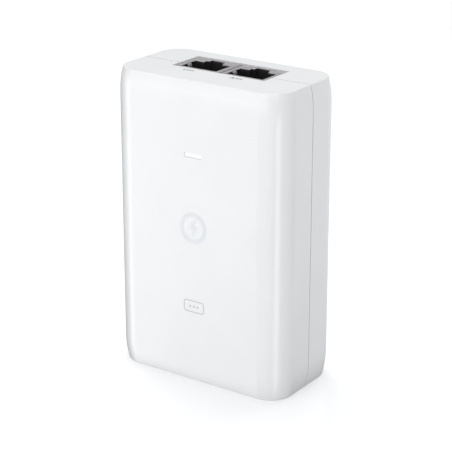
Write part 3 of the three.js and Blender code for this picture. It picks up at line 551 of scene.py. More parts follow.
def turns_recipe() -> Recipe:
    """Builds the rule for wire turns round one side of a ring core whose axis is Z.

    Returns:
        The recipe. Each turn is a rounded loop across the core's section.
    """
    floats = ("Ring_Radius", "Loop_Width", "Loop_Height", "Loop_Corner", "Wire_Radius", "Start", "Step")
    tree = Recipe("wire_turns", **dict.fromkeys(floats, float), Turns=int)
    index = Field(tree, tree.add("GeometryNodeInputIndex").outputs[0])
    angle = tree.size("Start") + index * tree.size("Step")
    spot = tree.call(
        "ShaderNodeCombineXYZ",
        X=angle.math("COSINE") * tree.size("Ring_Radius"),
        Y=angle.math("SINE") * tree.size("Ring_Radius"),
    )
    points = tree.call("GeometryNodePoints", Count=tree.size("Turns"), Position=spot)
    section = tree.call(
        "GeometryNodeCurvePrimitiveQuadrilateral",
        Width=tree.size("Loop_Width"),
        Height=tree.size("Loop_Height"),
    )
    rounded_section = tree.call(
        "GeometryNodeFilletCurve", settings={"mode": "POLY"},
        Curve=section, Radius=tree.size("Loop_Corner"), Count=5,
    )
    upright = tree.call("GeometryNodeTransform", Geometry=rounded_section, Rotation=(math.pi / 2, 0, 0))
    wire = tree.call("GeometryNodeCurvePrimitiveCircle", Resolution=8, Radius=tree.size("Wire_Radius"))
    loop = tree.call("GeometryNodeCurveToMesh", Curve=upright, Profile_Curve=wire)
    turned = tree.call("ShaderNodeCombineXYZ", Z=angle)
    return tree.finish(
        tree.call("GeometryNodeInstanceOnPoints", Points=points, Instance=loop, Rotation=turned)
    )


# ---------------------------------------------------------------- finishes

class Shader(Graph):
    """A procedural material round one Principled shader."""

    def __init__(self, name: str, colour: Colour, roughness: float, metallic: float = 0.0) -> None:
        """Opens a material.

        Args:
            name: its name.
            colour: its plain base colour.
            roughness: its plain roughness.
            metallic: 1 for bare metal.
        """
        self.material = bpy.data.materials.new(name)
        self.material.use_nodes = True
        super().__init__(self.material.node_tree)
        self.surface = self.add("ShaderNodeBsdfPrincipled")
        self.set("Base Color", (*colour, 1.0))
        self.set("Roughness", roughness)
        self.set("Metallic", metallic)
        output = self.add("ShaderNodeOutputMaterial")
        self.feed(output.inputs["Surface"], self.surface.outputs[0])

    def set(self, name: str, value: Any) -> None:
        """Gives one of the shader's inputs a value or a link."""
        self.feed(self.surface.inputs[name], value)

    def position(self, scale: Sequence[float] = (1, 1, 1), centre: Sequence[float] = (0, 0, 0)) -> Field:
        """The place on the object.

        Args:
            scale: how it's stretched along each axis.
            centre: the place that becomes the origin.

        Returns:
            The place as a field.
        """
        spot = self.call("ShaderNodeTexCoord", output="Object")
        back = [-middle * share for middle, share in zip(centre, scale)]
        return self.call("ShaderNodeMapping", Vector=spot, Location=back, Scale=scale)

    def noise(self, scale: float, detail: float = 2.0, where: Field | None = None) -> Field:
        """Even noise from 0 to 1.

        Args:
            scale: cycles a metre.
            detail: how many finer octaves it holds.
            where: the place that steers it, or None for the plain one.

        Returns:
            The noise as a field.
        """
        spot = where or self.position()
        return self.call("ShaderNodeTexNoise", Vector=spot, Scale=scale, Detail=detail, Roughness=0.5)

    def between(self, share: Field, low: float, high: float, start: float = 0.3, end: float = 0.7) -> Field:
        """Maps a share onto a range.

        Args:
            share: the value that steers it.
            low: the result at start and below.
            high: the result at end and above.
            start: the share that gives low.
            end: the share that gives high.

        Returns:
            The mapped value.
        """
        node = self.add("ShaderNodeMapRange")
        for place_in, value in enumerate((share, start, end, low, high)):
            self.feed(node.inputs[place_in], value)
        return Field(self, node.outputs[0])

    def blend(self, share: Field, first: "Colour | Field", second: Colour) -> Field:
        """Mixes two colours.

        Args:
            share: 0 for the first and 1 for the second.
            first: the first colour, or a field that gives it.
            second: the second colour.

        Returns:
            The mixed colour.
        """
        node = self.add("ShaderNodeMix", data_type="RGBA")
        self.feed(node.inputs["Factor"], share)
        colours = [socket for socket in node.inputs if socket.type == "RGBA"]
        for socket, colour in zip(colours, (first, second)):
            self.feed(socket, colour if isinstance(colour, Field) else (*colour, 1.0))
        return Field(self, next(socket for socket in node.outputs if socket.type == "RGBA"))

    def relief(self, height: Field, depth: float, strength: float = 1.0) -> None:
        """Raises the surface by a pattern.

        Args:
            height: the pattern.
            depth: its full height in metres.
            strength: how much of it shows.
        """
        bump = self.call("ShaderNodeBump", output="Normal", Height=height, Distance=depth, Strength=strength)
        self.set("Normal", bump)


def shade(colour: Colour, share: float) -> Colour:
    """A colour made lighter or darker by a share."""
    return tuple(min(1.0, channel * share) for channel in colour)


@dataclass(frozen=True)
class MouldedPlastic:
    """Injection-moulded plastic: a fine spark-eroded grain and a faint unevenness of tone and gloss."""

    colour: Colour
    roughness: float
    grain: float = 3200.0
    depth: float = 0.000004
    mottle: float = 0.012

    def material(self, name: str) -> bpy.types.Material:
        """Builds the material."""
        shader = Shader(name, self.colour, self.roughness)
        cloud = shader.noise(55.0, 3.0)
        lighter = shade(self.colour, 1 + self.mottle)
        darker = shade(self.colour, 1 - self.mottle)
        shader.set("Base Color", shader.blend(shader.between(cloud, 0, 1), darker, lighter))
        grain = shader.noise(self.grain, 2.0)
        uneven = shader.between(cloud, self.roughness - 0.02, self.roughness + 0.02)
        shader.set("Roughness", uneven + shader.between(grain, -0.02, 0.02))
        shader.relief(grain, self.depth, 0.35)
        return shader.material


@dataclass(frozen=True)
class RolledSheet:
    """Plated or plain sheet metal with fine drawn streaks along one axis."""

    colour: Colour
    roughness: float
    along: Axis = Axis.Z
    streak: float = 0.00002

    def material(self, name: str) -> bpy.types.Material:
        """Builds the material."""
        shader = Shader(name, self.colour, self.roughness, 1.0)
        stretch = {Axis.X: (0.06, 1, 1), Axis.Y: (1, 0.06, 1), Axis.Z: (1, 1, 0.06)}[self.along]
        streaks = shader.noise(5200.0, 3.0, shader.position(stretch))
        tarnish = shader.noise(420.0, 4.0)
        colour = shader.blend(shader.between(tarnish, 0, 1), shade(self.colour, 0.86), self.colour)
        shader.set("Base Color", colour)
        shader.set("Roughness", shader.between(streaks, self.roughness - 0.06, self.roughness + 0.1))
        shader.relief(streaks, self.streak, 0.3)
        return shader.material


@dataclass(frozen=True)
class PrintedInk:
    """A thin coat of pad-printed ink with slightly uneven cover."""

    colour: Colour

    def material(self, name: str) -> bpy.types.Material:
        """Builds the material."""
        shader = Shader(name, self.colour, 0.45)
        cover = shader.noise(4200.0, 3.0)
        thin = shade(self.colour, 1.04)
        shader.set("Base Color", shader.blend(shader.between(cover, 0, 1), self.colour, thin))
        shader.set("Roughness", shader.between(cover, 0.4, 0.5))
        return shader.material


@dataclass(frozen=True)
class LitGuide:
    """A milky light guide, lit from behind, a little brighter at its middle."""

    colour: Colour
    glow: float
    centre: tuple[float, float, float]
    half_width: float

    def material(self, name: str) -> bpy.types.Material:
        """Builds the material."""
        shader = Shader(name, self.colour, 0.25)
        cloud = shader.noise(900.0, 2.0)
        shader.set("Emission Color", (*self.colour, 1.0))
        away = self.from_lamp(shader)
        bright = shader.between(away, self.glow, self.glow * 0.8, 0.0, self.half_width)
        shader.set("Emission Strength", bright * shader.between(cloud, 0.97, 1.03))
        shader.set("Roughness", shader.between(cloud, 0.2, 0.3))
        return shader.material

    def from_lamp(self, shader: Shader) -> Field:
        """The distance from the lamp."""
        return shader.call(
            "ShaderNodeVectorMath", output="Value", settings={"operation": "LENGTH"},
            Vector=shader.position(centre=self.centre),
        )


@dataclass(frozen=True)
class SolderMask:
    """Green lacquer over copper tracks, with bare pads at a regular pitch."""

    lacquer: Colour
    over_copper: Colour
    pad: Colour
    pitch: float = 0.0026
    tracks: float = 70.0

    def material(self, name: str) -> bpy.types.Material:
        """Builds the material."""
        shader = Shader(name, self.lacquer, 0.3)
        cells = shader.call(
            "ShaderNodeTexVoronoi", output="Distance", settings={"feature": "DISTANCE_TO_EDGE"},
            Vector=shader.position((self.tracks, 0, self.tracks)), Scale=4.0,
        )
        track = shader.between(cells, 0, 1, 0.10, 0.12)
        dots = shader.call(
            "ShaderNodeTexVoronoi", output="Distance",
            Vector=shader.position((1 / self.pitch, 0, 1 / self.pitch)), Scale=1.0, Randomness=0.55,
        )
        pads = shader.between(dots, 1, 0, 0.16, 0.19)
        lacquer = shader.blend(track, self.lacquer, self.over_copper)
        shader.set("Base Color", shader.blend(pads, lacquer, self.pad))
        shader.set("Metallic", pads)
        shader.relief(track + pads, 0.00004, 0.5)
        return shader.material


@dataclass(frozen=True)
class WrappedTape:
    """Polyester tape in overlapping bands."""

    colour: Colour
    band: float = 0.0022

    def material(self, name: str) -> bpy.types.Material:
        """Builds the material."""
        shader = Shader(name, self.colour, 0.35)
        lap = shader.call(
            "ShaderNodeTexWave", output="Fac", settings={"bands_direction": "Y", "wave_profile": "SAW"},
            Vector=shader.position(), Scale=1 / self.band / math.tau, Distortion=0.6,
        )
        shader.set("Base Color", shader.blend(lap, shade(self.colour, 0.82), self.colour))
        wrinkle = shader.noise(1500.0, 3.0)
        shader.set("Roughness", shader.between(wrinkle, 0.28, 0.42))
        shader.relief(lap + wrinkle * 0.4, 0.00006, 0.6)
        return shader.material


@dataclass(frozen=True)
class StripedSleeve:
    """Shrink sleeve with a pale stripe down one side and a faint wrinkle."""

    colour: Colour
    stripe: Colour
    bands: float = 18.0

    def material(self, name: str) -> bpy.types.Material:
        """Builds the material."""
        shader = Shader(name, self.colour, 0.32)
        wave = shader.call(
            "ShaderNodeTexWave", output="Fac", settings={"bands_direction": "Z"},
            Vector=shader.position(), Scale=self.bands,
        )
        edge = shader.between(wave, 0, 1, 0.86, 0.88)
        shader.set("Base Color", shader.blend(edge, self.colour, self.stripe))
        wrinkle = shader.noise(700.0, 3.0)
        shader.set("Roughness", shader.between(wrinkle, 0.26, 0.4))
        shader.relief(wrinkle, 0.00005, 0.4)
        return shader.material


@dataclass(frozen=True)
class Glaze:
    """A dipped or fired surface: rounded lumps under a gloss, or a dull grain where it is rough."""

    colour: Colour
    roughness: float
    lump: float = 600.0
    depth: float = 0.00006
    clear: float = 0.0

    def material(self, name: str) -> bpy.types.Material:
        """Builds the material."""
        shader = Shader(name, self.colour, self.roughness)
        lumps = shader.noise(self.lump, 4.0)
        darker = shade(self.colour, 0.8)
        shader.set("Base Color", shader.blend(shader.between(lumps, 0, 1), darker, self.colour))
        shader.set("Roughness", shader.between(lumps, self.roughness * 0.85, self.roughness * 1.15))
        shader.set("Transmission Weight", self.clear)
        shader.relief(lumps, self.depth, 0.5)
        return shader.material


@dataclass
class Palette:
    """Every finish on the object, built once and looked up by name."""

    finishes: dict[str, Any] = field(default_factory=lambda: {
        "white_shell": MouldedPlastic((0.757, 0.760, 0.766), 0.22),
        "black_plastic": MouldedPlastic((0.012, 0.012, 0.014), 0.42, 2400.0, 0.000008, 0.15),
        "shield_metal": RolledSheet((0.50, 0.475, 0.485), 0.34, Axis.X),
        "contact_gold": RolledSheet((0.83, 0.62, 0.27), 0.22, Axis.Z, 0.000006),
        "pin_metal": RolledSheet((0.74, 0.74, 0.75), 0.2, Axis.Z, 0.000006),
        "screw_steel": RolledSheet((0.62, 0.63, 0.65), 0.3, Axis.X, 0.00001),
        "heat_sink_aluminium": RolledSheet((0.72, 0.73, 0.74), 0.36, Axis.Z),
        "copper_wire": Glaze((0.55, 0.2, 0.07), 0.22, lump=900.0, depth=0.00001),
        "ferrite": Glaze((0.035, 0.035, 0.038), 0.7, lump=2600.0, depth=0.00003),
        "dipped_ceramic": Glaze((0.03, 0.13, 0.42), 0.2),
        "glass_tube": Glaze((0.85, 0.9, 0.88), 0.05, lump=300.0, depth=0.00001, clear=0.8),
        "film_box": MouldedPlastic((0.30, 0.31, 0.33), 0.4, 1800.0, 0.00001, 0.06),
        "barrier_sheet": MouldedPlastic((0.70, 0.66, 0.50), 0.45, 900.0, 0.00001, 0.05),
        "winding_tape": WrappedTape((0.78, 0.5, 0.05)),
        "capacitor_sleeve": StripedSleeve((0.02, 0.025, 0.06), (0.35, 0.37, 0.42)),
        "board_green": SolderMask((0.01, 0.11, 0.045), (0.03, 0.2, 0.07), (0.75, 0.72, 0.62)),
        "mark_ink": PrintedInk((0.669, 0.680, 0.710)),
        "badge_ink": PrintedInk((0.43, 0.44, 0.46)),
        "label_ink": PrintedInk((0.14, 0.15, 0.16)),
    })
    built: dict[str, bpy.types.Material] = field(default_factory=dict)

    def get(self, name: str) -> bpy.types.Material:
        """The material of that name, built when it is first asked for."""
        if name not in self.built:
            self.built[name] = self.finishes[name].material(name)
        return self.built[name]


# ---------------------------------------------------------------- the case

@dataclass
class Case:
    """The two covers with their windows, rim, posts, hooks and bracket recess.

    Edges within the skin depth of the outside get rounded, and cutting blocks run well beyond the case.
    """

    palette: Palette
    wall: float = 0.002
    corner: float = 0.0084
    taper_height: float = 0.0081
    taper_inset: float = 0.00106
    end_edge: float = 0.00008
    split: float = 0.00033
    split_gap: float = 0.00038
    edge: float = 0.00004
    tongue_inset: float = 0.00115
    tongue_reach: float = 0.0014
    clearance: float = 0.0002
    collar: float = 0.0012
    collar_reach: float = 0.003
    lamp_slot: tuple[float, float] = (0.00668, 0.00147)
    window_gap: float = 0.00022
    rib_x: float = 0.016
    rib_half: float = 0.0006
    rib_reach: float = 0.0012
    rib_from_end: float = 0.0122
    boss_radius: float = 0.0026
    boss_gap: float = 0.00025
    pilot_radius: float = 0.0014
    pilot_depth: float = 0.002
    hook_from_end: float = 0.028
    hook_half: float = 0.003
    hook_tip: float = 0.0058
    hook_root: float = 0.0075
    hook_thickness: float = 0.0011
    hook_nub: float = 0.0008
    pocket_back: float = 0.0034
    pocket_depth: float = 0.001
    pocket_room: float = 0.0004
    rail_reach: float = 0.0021
    rail_lip: float = 0.0009
    tray_wall: float = 0.0016
    recess_gap: float = 0.0003
    recess_floor_gap: float = 0.00025
    recess_below: float = 0.010
    tab_notches: tuple[Span, ...] = ((0.0245, 0.0335), (0.0545, 0.0635))
    skin: float = 0.00003
    beyond: float = 0.1

    def __post_init__(self) -> None:
        """Takes the case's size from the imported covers."""
        front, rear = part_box("front_cover"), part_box("rear_cover")
        self.low = Vector((front[0].x, front[0].y, front[0].z))
        self.high = Vector((front[1].x, rear[1].y, front[1].z))
        self.recipe = case_recipe()

    def form(
        self, inset: float, edge: float = 0.0, corner_steps: int = 20, levels: int = 64
    ) -> bpy.types.Object:
        """Makes the case's form as a solid.

        Args:
            inset: how far every side is taken in.
            edge: the rounding of the two end faces.
            corner_steps: faces round each upright corner.
            levels: rings of faces from end to end.

        Returns:
            The solid.
        """
        size = self.high - self.low
        return self.recipe.make(
            "form", Width=size.x, Depth=size.y, Height=size.z, Corner=self.corner,
            Taper_Height=self.taper_height, Taper_Inset=self.taper_inset,
            Inset=inset, Edge=edge, Corner_Steps=corner_steps, Levels=levels,
        )

    def half(self, y: Span, inset: float = 0.0, edge: float = 0.0) -> bpy.types.Object:
        """Makes a slice of the form.

        Args:
            y: where it starts and ends from front to back.
            inset: how far every side is taken in.
            edge: the rounding of the two end faces.

        Returns:
            The slice.
        """
        slab = block((-self.beyond, self.beyond), y, (-self.beyond, 2 * self.beyond))
        return combine(self.form(inset, edge), Join.KEEP, slab)

    def hollow(self) -> bpy.types.Object:
        """Makes the space inside the walls."""
        return self.form(self.wall, corner_steps=10, levels=32)

    def jack_window(self) -> bpy.types.Object:
        """The opening in the top for both jacks."""
        low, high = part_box("poe_jack_shield")[0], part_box("lan_jack_shield")[1]
        gap = self.window_gap
        z = (self.high.z - 2 * self.wall, self.high.z + self.wall)
        return block((low.x - gap, high.x + gap), (low.y - gap, high.y + gap), z)

    def inlet_window(self) -> bpy.types.Object:
        """The opening in the base for the mains inlet."""
        low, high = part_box("inlet_housing")
        gap = self.clearance
        return block((low.x - gap, high.x + gap), (low.y - gap, high.y + gap), (-self.wall, 2 * self.wall))

    def mark_skin_edges(self, cover: bpy.types.Object) -> None:
        """Gives a bevel weight to the sharp edges that lie in the case's outer skin.

        Args:
            cover: the cover, whose flat areas are also merged and cut into simple faces.
        """
        shape = bmesh.new()
        shape.from_mesh(cover.data)
        bmesh.ops.dissolve_limit(shape, angle_limit=math.radians(0.02), verts=shape.verts, edges=shape.edges)
        wide = [face for face in shape.faces if len(face.verts) > 4]
        bmesh.ops.triangulate(shape, faces=wide, ngon_method="BEAUTY")
        weights = shape.edges.layers.float.get("bevel_weight_edge")
        weights = weights or shape.edges.layers.float.new("bevel_weight_edge")
        for line in shape.edges:
            sharp = len(line.link_faces) == 2 and line.calc_face_angle(0) > SHARP
            on_skin = all(self.depth_below_skin(vertex.co) < self.skin for vertex in line.verts)
            line[weights] = float(sharp and on_skin)
        shape.to_mesh(cover.data)
        shape.free()

    def depth_below_skin(self, spot: Vector) -> float:
        """How far a point lies inside the case's form."""
        from_end = min(spot.z - self.low.z, self.high.z - spot.z)
        climb = max(self.taper_height - from_end, 0)
        radius = (self.taper_height ** 2 + self.taper_inset ** 2) / (2 * self.taper_inset)
        drawn = radius - math.sqrt(max(radius ** 2 - climb ** 2, 0))
        core = Vector((self.high.x - self.corner, self.high.y - self.corner))
        beyond = Vector((max(abs(spot.x) - core.x, 0), max(abs(spot.y) - core.y, 0)))
        if beyond.length == 0:
            return from_end
        return min(from_end, self.corner - drawn - beyond.length)

    def at_hooks(self, outline: Sequence[Point], half: float) -> list[bpy.types.Object]:
        """Makes a prism at each of the four snap hooks.

        Args:
            outline: its outline in (x, y) on the +X side.
            half: half its height.

        Returns:
            The four prisms.
        """
        levels = (self.hook_from_end, self.high.z - self.hook_from_end)
        right = [prism(outline, Axis.Z, (z - half, z + half)) for z in levels]
        return right + [mirrored(part) for part in right]

    def lamp_outline(self, grow: float) -> list[Point]:
        """Gives the light's stadium-shaped slot, made larger all round by a margin."""
        low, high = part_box("status_light_pipe")
        width, thickness = (size + 2 * grow for size in self.lamp_slot)
        slot = rounded(width, thickness, thickness / 2 - TINY, 8)
        return moved(slot, 0, (low.z + high.z) / 2)

    def front_cover(self) -> None:
        """Builds the front cover."""
        inner = self.low.y + self.wall
        cover = self.half((-self.beyond, self.split - self.split_gap / 2), edge=self.end_edge)
        combine(cover, Join.CUT, self.hollow())
        step = self.half(
            (self.split - self.tongue_reach - self.clearance, self.split + 0.001),
            self.tongue_inset - self.clearance,
        )
        combine(cover, Join.CUT, step, self.jack_window(), self.inlet_window())
        sunk = inner - self.wall / 2
        rim = prism(self.lamp_outline(self.collar), Axis.Y, (sunk, inner + self.collar_reach))
        combine(cover, Join.ADD, rim)
        for x in (-self.rib_x, self.rib_x):
            rib = block(
                (x - self.rib_half, x + self.rib_half), (sunk, inner + self.rib_reach),
                (self.rib_from_end, self.high.z - self.rib_from_end),
            )
            combine(cover, Join.ADD, rib)
        through = (self.low.y - self.wall / 2, inner + 2 * self.collar_reach)
        combine(cover, Join.CUT, prism(self.lamp_outline(0.0), Axis.Y, through))
        face = self.high.x - self.wall - self.clearance
        depths = (self.split - self.hook_tip, self.split - self.pocket_back)
        pocket = rectangle((face, face + self.pocket_depth), depths)
        combine(cover, Join.CUT, *self.at_hooks(pocket, self.hook_half + self.pocket_room))
        self.mark_skin_edges(cover)
        soften(cover, self.edge, marked=True)
        place(cover, "front_cover_shell", self.palette.get("white_shell"), "front_cover", slot="white_shell")

    def rear_cover(self) -> None:
        """Builds the rear cover with its recess for the wall bracket."""
        cover = self.half((self.split + self.split_gap / 2, self.beyond), edge=self.end_edge)
        combine(cover, Join.CUT, self.hollow())
        tongue = self.half((self.split - self.tongue_reach, self.split + 0.0013), self.tongue_inset)
        combine(tongue, Join.CUT, self.hollow())
        combine(cover, Join.ADD, tongue)
        plate_low, plate_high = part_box(BRACKET)
        back = self.high.y
        floor = plate_low.y - self.recess_floor_gap
        rail = plate_high.x + self.clearance
        edge = rail - self.rail_reach + self.recess_gap
        z = (plate_low.z - self.recess_below, plate_high.z + self.recess_gap)
        tray_half = rail + self.tray_wall
        tray = block(
            (-tray_half, tray_half), (floor - self.tray_wall, back - self.wall / 2),
            (z[0] - self.tray_wall, z[1] + self.tray_wall),
        )
        combine(cover, Join.ADD, tray)
        self.screw_posts(cover)
        combine(cover, Join.CUT, self.jack_window(), self.inlet_window())
        combine(cover, Join.CUT, block((-edge, edge), (floor, back + self.wall), z))
        combine(cover, Join.CUT, block((-rail, rail), (floor, back - self.rail_lip), z))
        for notch in self.tab_notches:
            combine(cover, Join.CUT, block((-rail, rail), (floor, back + self.wall), notch))
        combine(cover, Join.ADD, *self.snap_hooks())
        self.mark_skin_edges(cover)
        soften(cover, self.edge, marked=True)
        place(cover, "rear_cover_shell", self.palette.get("white_shell"), "rear_cover", slot="white_shell")

    def screw_posts(self, cover: bpy.types.Object) -> None:
        """Stands a post with a pilot hole behind each of the board's screws."""
        board_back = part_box("main_board")[1].y
        root = self.high.y - self.wall + self.recess_gap
        for screw in range(1, 5):
            low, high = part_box(f"board_screw_{screw}")
            middle = ((low.x + high.x) / 2, (low.z + high.z) / 2)
            post = circle(self.boss_radius, middle)
            combine(cover, Join.ADD, prism(post, Axis.Y, (board_back + self.boss_gap, root)))
            hole = circle(self.pilot_radius, middle, 20)
            depths = (board_back - self.pilot_depth, high.y + self.clearance)
            combine(cover, Join.CUT, prism(hole, Axis.Y, depths))

    def snap_hooks(self) -> list[bpy.types.Object]:
        """Makes the four fingers with outward nubs on the rear cover's side walls."""
        side = self.high.x - self.wall
        face = side - self.clearance
        back = face - self.hook_thickness
        nub = face + self.hook_nub
        tip = self.split - self.hook_tip
        root = self.split + self.hook_root
        finger = [
            (back, root), (back, tip), (face - self.hook_thickness / 2, tip), (nub, tip + 0.0015),
            (nub, tip + 0.0019), (face, tip + 0.0022), (face, root - 0.004),
            (side + self.wall / 2, root - 0.0034), (side + self.wall / 2, root),
        ]
        return self.at_hooks(finger, self.hook_half)

    def build(self) -> None:
        """Builds both covers."""
        self.front_cover()
        self.rear_cover()


# ---------------------------------------------------------------- printed marks

class Port(Enum):
    """The two jacks, by what their nodes' names start with."""

    POWERED = "poe"
    NETWORK = "lan"


BOLT: list[Point] = [
    (0.18, 1.0), (-0.62, -0.12), (-0.06, -0.12), (-0.2, -1.0), (0.62, 0.2), (0.06, 0.2), (0.42, 1.0),
]


@dataclass
class Marks:
    """The generic printed marks on the front and by the jacks: thin films of ink."""

    palette: Palette
    film: float = 0.00002
    ring_height: float = 0.0513
    ring_radius: float = 0.0050
    ring_line: float = 0.0014
    bolt_half: float = 0.0031
    badge_height: float = 0.0255
    badge_size: tuple[float, float] = (0.0077, 0.00395)
    badge_line: float = 0.00028
    badge_corner: float = 0.00105
    dot_radius: float = 0.00034
    dot_pitch: float = 0.0014
    label_y: float = -0.0063
    label_icon: float = 0.00085
    label_shift: dict[Port, float] = field(
        default_factory=lambda: {Port.POWERED: -0.0006, Port.NETWORK: 0.0001}
    )
    icon_left: float = 0.0014
    square_size: tuple[float, float] = (0.00055, 0.0008)
    square_corner: float = 0.0001
    squares_right: float = 0.0008
    square_pitch: float = 0.00088

    def __post_init__(self) -> None:
        """Finds the front and top faces."""
        low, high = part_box("front_cover")
        self.front = (low.y - self.film, low.y + self.film)
        self.top = (high.z - self.film, high.z + self.film)
        self.rows = row_recipe()

    def ring(self, outer: Sequence[Point], inner: Sequence[Point]) -> bpy.types.Object:
        """Makes a flat band on the front, between two outlines."""
        hole = (self.front[0] - self.film, self.front[1] + self.film)
        return combine(prism(outer, Axis.Y, self.front), Join.CUT, prism(inner, Axis.Y, hole))

    def bolt(self, half: float, centre: Point, axis: Axis, span: Span) -> bpy.types.Object:
        """Makes a lightning bolt.

        Args:
            half: half its height.
            centre: its middle, in the plane across the axis.
            axis: the way it's pushed.
            span: where it starts and ends along the axis.

        Returns:
            The film of ink.
        """
        outline = [(u * half, v * half) for u, v in BOLT]
        return prism(moved(outline, *centre), axis, span)

    def row(self, item: bpy.types.Object, pitch: float, ink: bpy.types.Material) -> bpy.types.Object:
        """Repeats a printed item three times across, and uses it up.

        Args:
            item: the item, at x = 0.
            pitch: the step from one to the next.
            ink: the ink.

        Returns:
            The row, centred on x = 0.
        """
        row = self.rows.make("row", ink, Item=item, Count=3, Pitch=pitch)
        bpy.data.objects.remove(item)
        return row

    def centre_mark(self) -> None:
        """Prints a ring with a bolt in the middle of the front."""
        outer = moved(circle(self.ring_radius, steps=64), 0, self.ring_height)
        inner = moved(circle(self.ring_radius - self.ring_line, steps=64), 0, self.ring_height)
        ring = self.ring(outer, inner)
        combine(ring, Join.ADD, self.bolt(self.bolt_half, (0, self.ring_height), Axis.Y, self.front))
        place(ring, "centre_mark", self.palette.get("mark_ink"))

    def badge(self) -> None:
        """Prints a rounded frame with three dots low on the front."""
        width, height = self.badge_size
        line = self.badge_line
        outer = moved(rounded(width, height, self.badge_corner), 0, self.badge_height)
        inner = rounded(width - 2 * line, height - 2 * line, self.badge_corner - line)
        ink = self.palette.get("badge_ink")
        place(self.ring(outer, moved(inner, 0, self.badge_height)), "badge_frame", ink)
        dot = prism(circle(self.dot_radius, (0, self.badge_height), 24), Axis.Y, self.front)
        place(self.row(dot, self.dot_pitch, ink), "badge_dots", ink)

    def port_label(self, port: Port) -> None:
        """Prints an icon and three small squares in front of a jack."""
        low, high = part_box(f"{port.value}_jack_shield")
        middle = (low.x + high.x) / 2 + self.label_shift[port]
        ink = self.palette.get("label_ink")
        icon_x = middle - self.icon_left
        if port is Port.POWERED:
            icon = self.bolt(self.label_icon, (icon_x, self.label_y), Axis.Z, self.top)
        else:
            icon = self.network_icon(icon_x)
        place(icon, f"{port.value}_label_icon", ink)
        outline = moved(rounded(*self.square_size, self.square_corner, 3), 0, self.label_y)
        squares = self.row(prism(outline, Axis.Z, self.top), self.square_pitch, ink)
        squares.data.transform(Matrix.Translation((middle + self.squares_right, 0, 0)))
        place(squares, f"{port.value}_label_squares", ink)

    def network_icon(self, x: float) -> bpy.types.Object:
        """Makes one box over two, joined by lines.

        Args:
            x: its middle.

        Returns:
            The film of ink.
        """
        size = self.label_icon
        box = rounded(size * 0.62, size * 0.62, size * 0.1, 3)
        outlines = [moved(box, u * size, v * size) for u, v in ((0, 0.62), (-0.62, -0.62), (0.62, -0.62))]
        bars = (
            ((-0.7, 0.7), (-0.1, 0.1)), ((-0.1, 0.1), (0, 0.62)),
            ((-0.7, -0.5), (-0.62, 0)), ((0.5, 0.7), (-0.62, 0)),
        )
        for bar in bars:
            outlines.append(rectangle(*[(start * size, end * size) for start, end in bar]))
        first, *others = (prism(moved(outline, x, self.label_y), Axis.Z, self.top) for outline in outlines)
        return combine(first, Join.ADD, *others)

    def build(self) -> None:
        """Prints every mark."""
        self.centre_mark()
        self.badge()
        for port in Port:
            self.port_label(port)


# ---------------------------------------------------------------- light

@dataclass
class StatusLight:
    """The light guide in the front, its lamp and the lamp's post."""

    palette: Palette
    glow: float = 0.14
    face_depth: float = 0.0005
    face_forward: float = 0.00022

    def bring_forward(self, guide: bpy.types.Object, front: float) -> None:
        """Moves the guide's lit face nearer to the mouth of its slot.

        Args:
            guide: the guide's mesh.
            front: the y of its face.
        """
        for vertex in guide.data.vertices:
            if vertex.co.y < front + self.face_depth:
                vertex.co.y -= self.face_forward

    def build(self) -> None:
        """Dresses the guide, the lamp and the post."""
        low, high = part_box("status_light_pipe")
        centre = ((low.x + high.x) / 2, low.y, (low.z + high.z) / 2)
        lit = LitGuide((0.80, 0.81, 0.82), self.glow, centre, (high.x - low.x) / 2).material("lit_guide")
        guide = refined("status_light_pipe", 0.0001)
        self.bring_forward(guide, low.y)
        place(guide, "status_light_pipe_lens", lit, "status_light_pipe", slot="light_guide")
        place(refined("status_led", 0.0001), "status_led_lens", lit, "status_led", slot="light_guide")
        post = refined("led_spacer", 0.0002)
        place(post, "led_post", self.palette.get("black_plastic"), "led_spacer", slot="black_plastic")


# ---------------------------------------------------------------- jacks

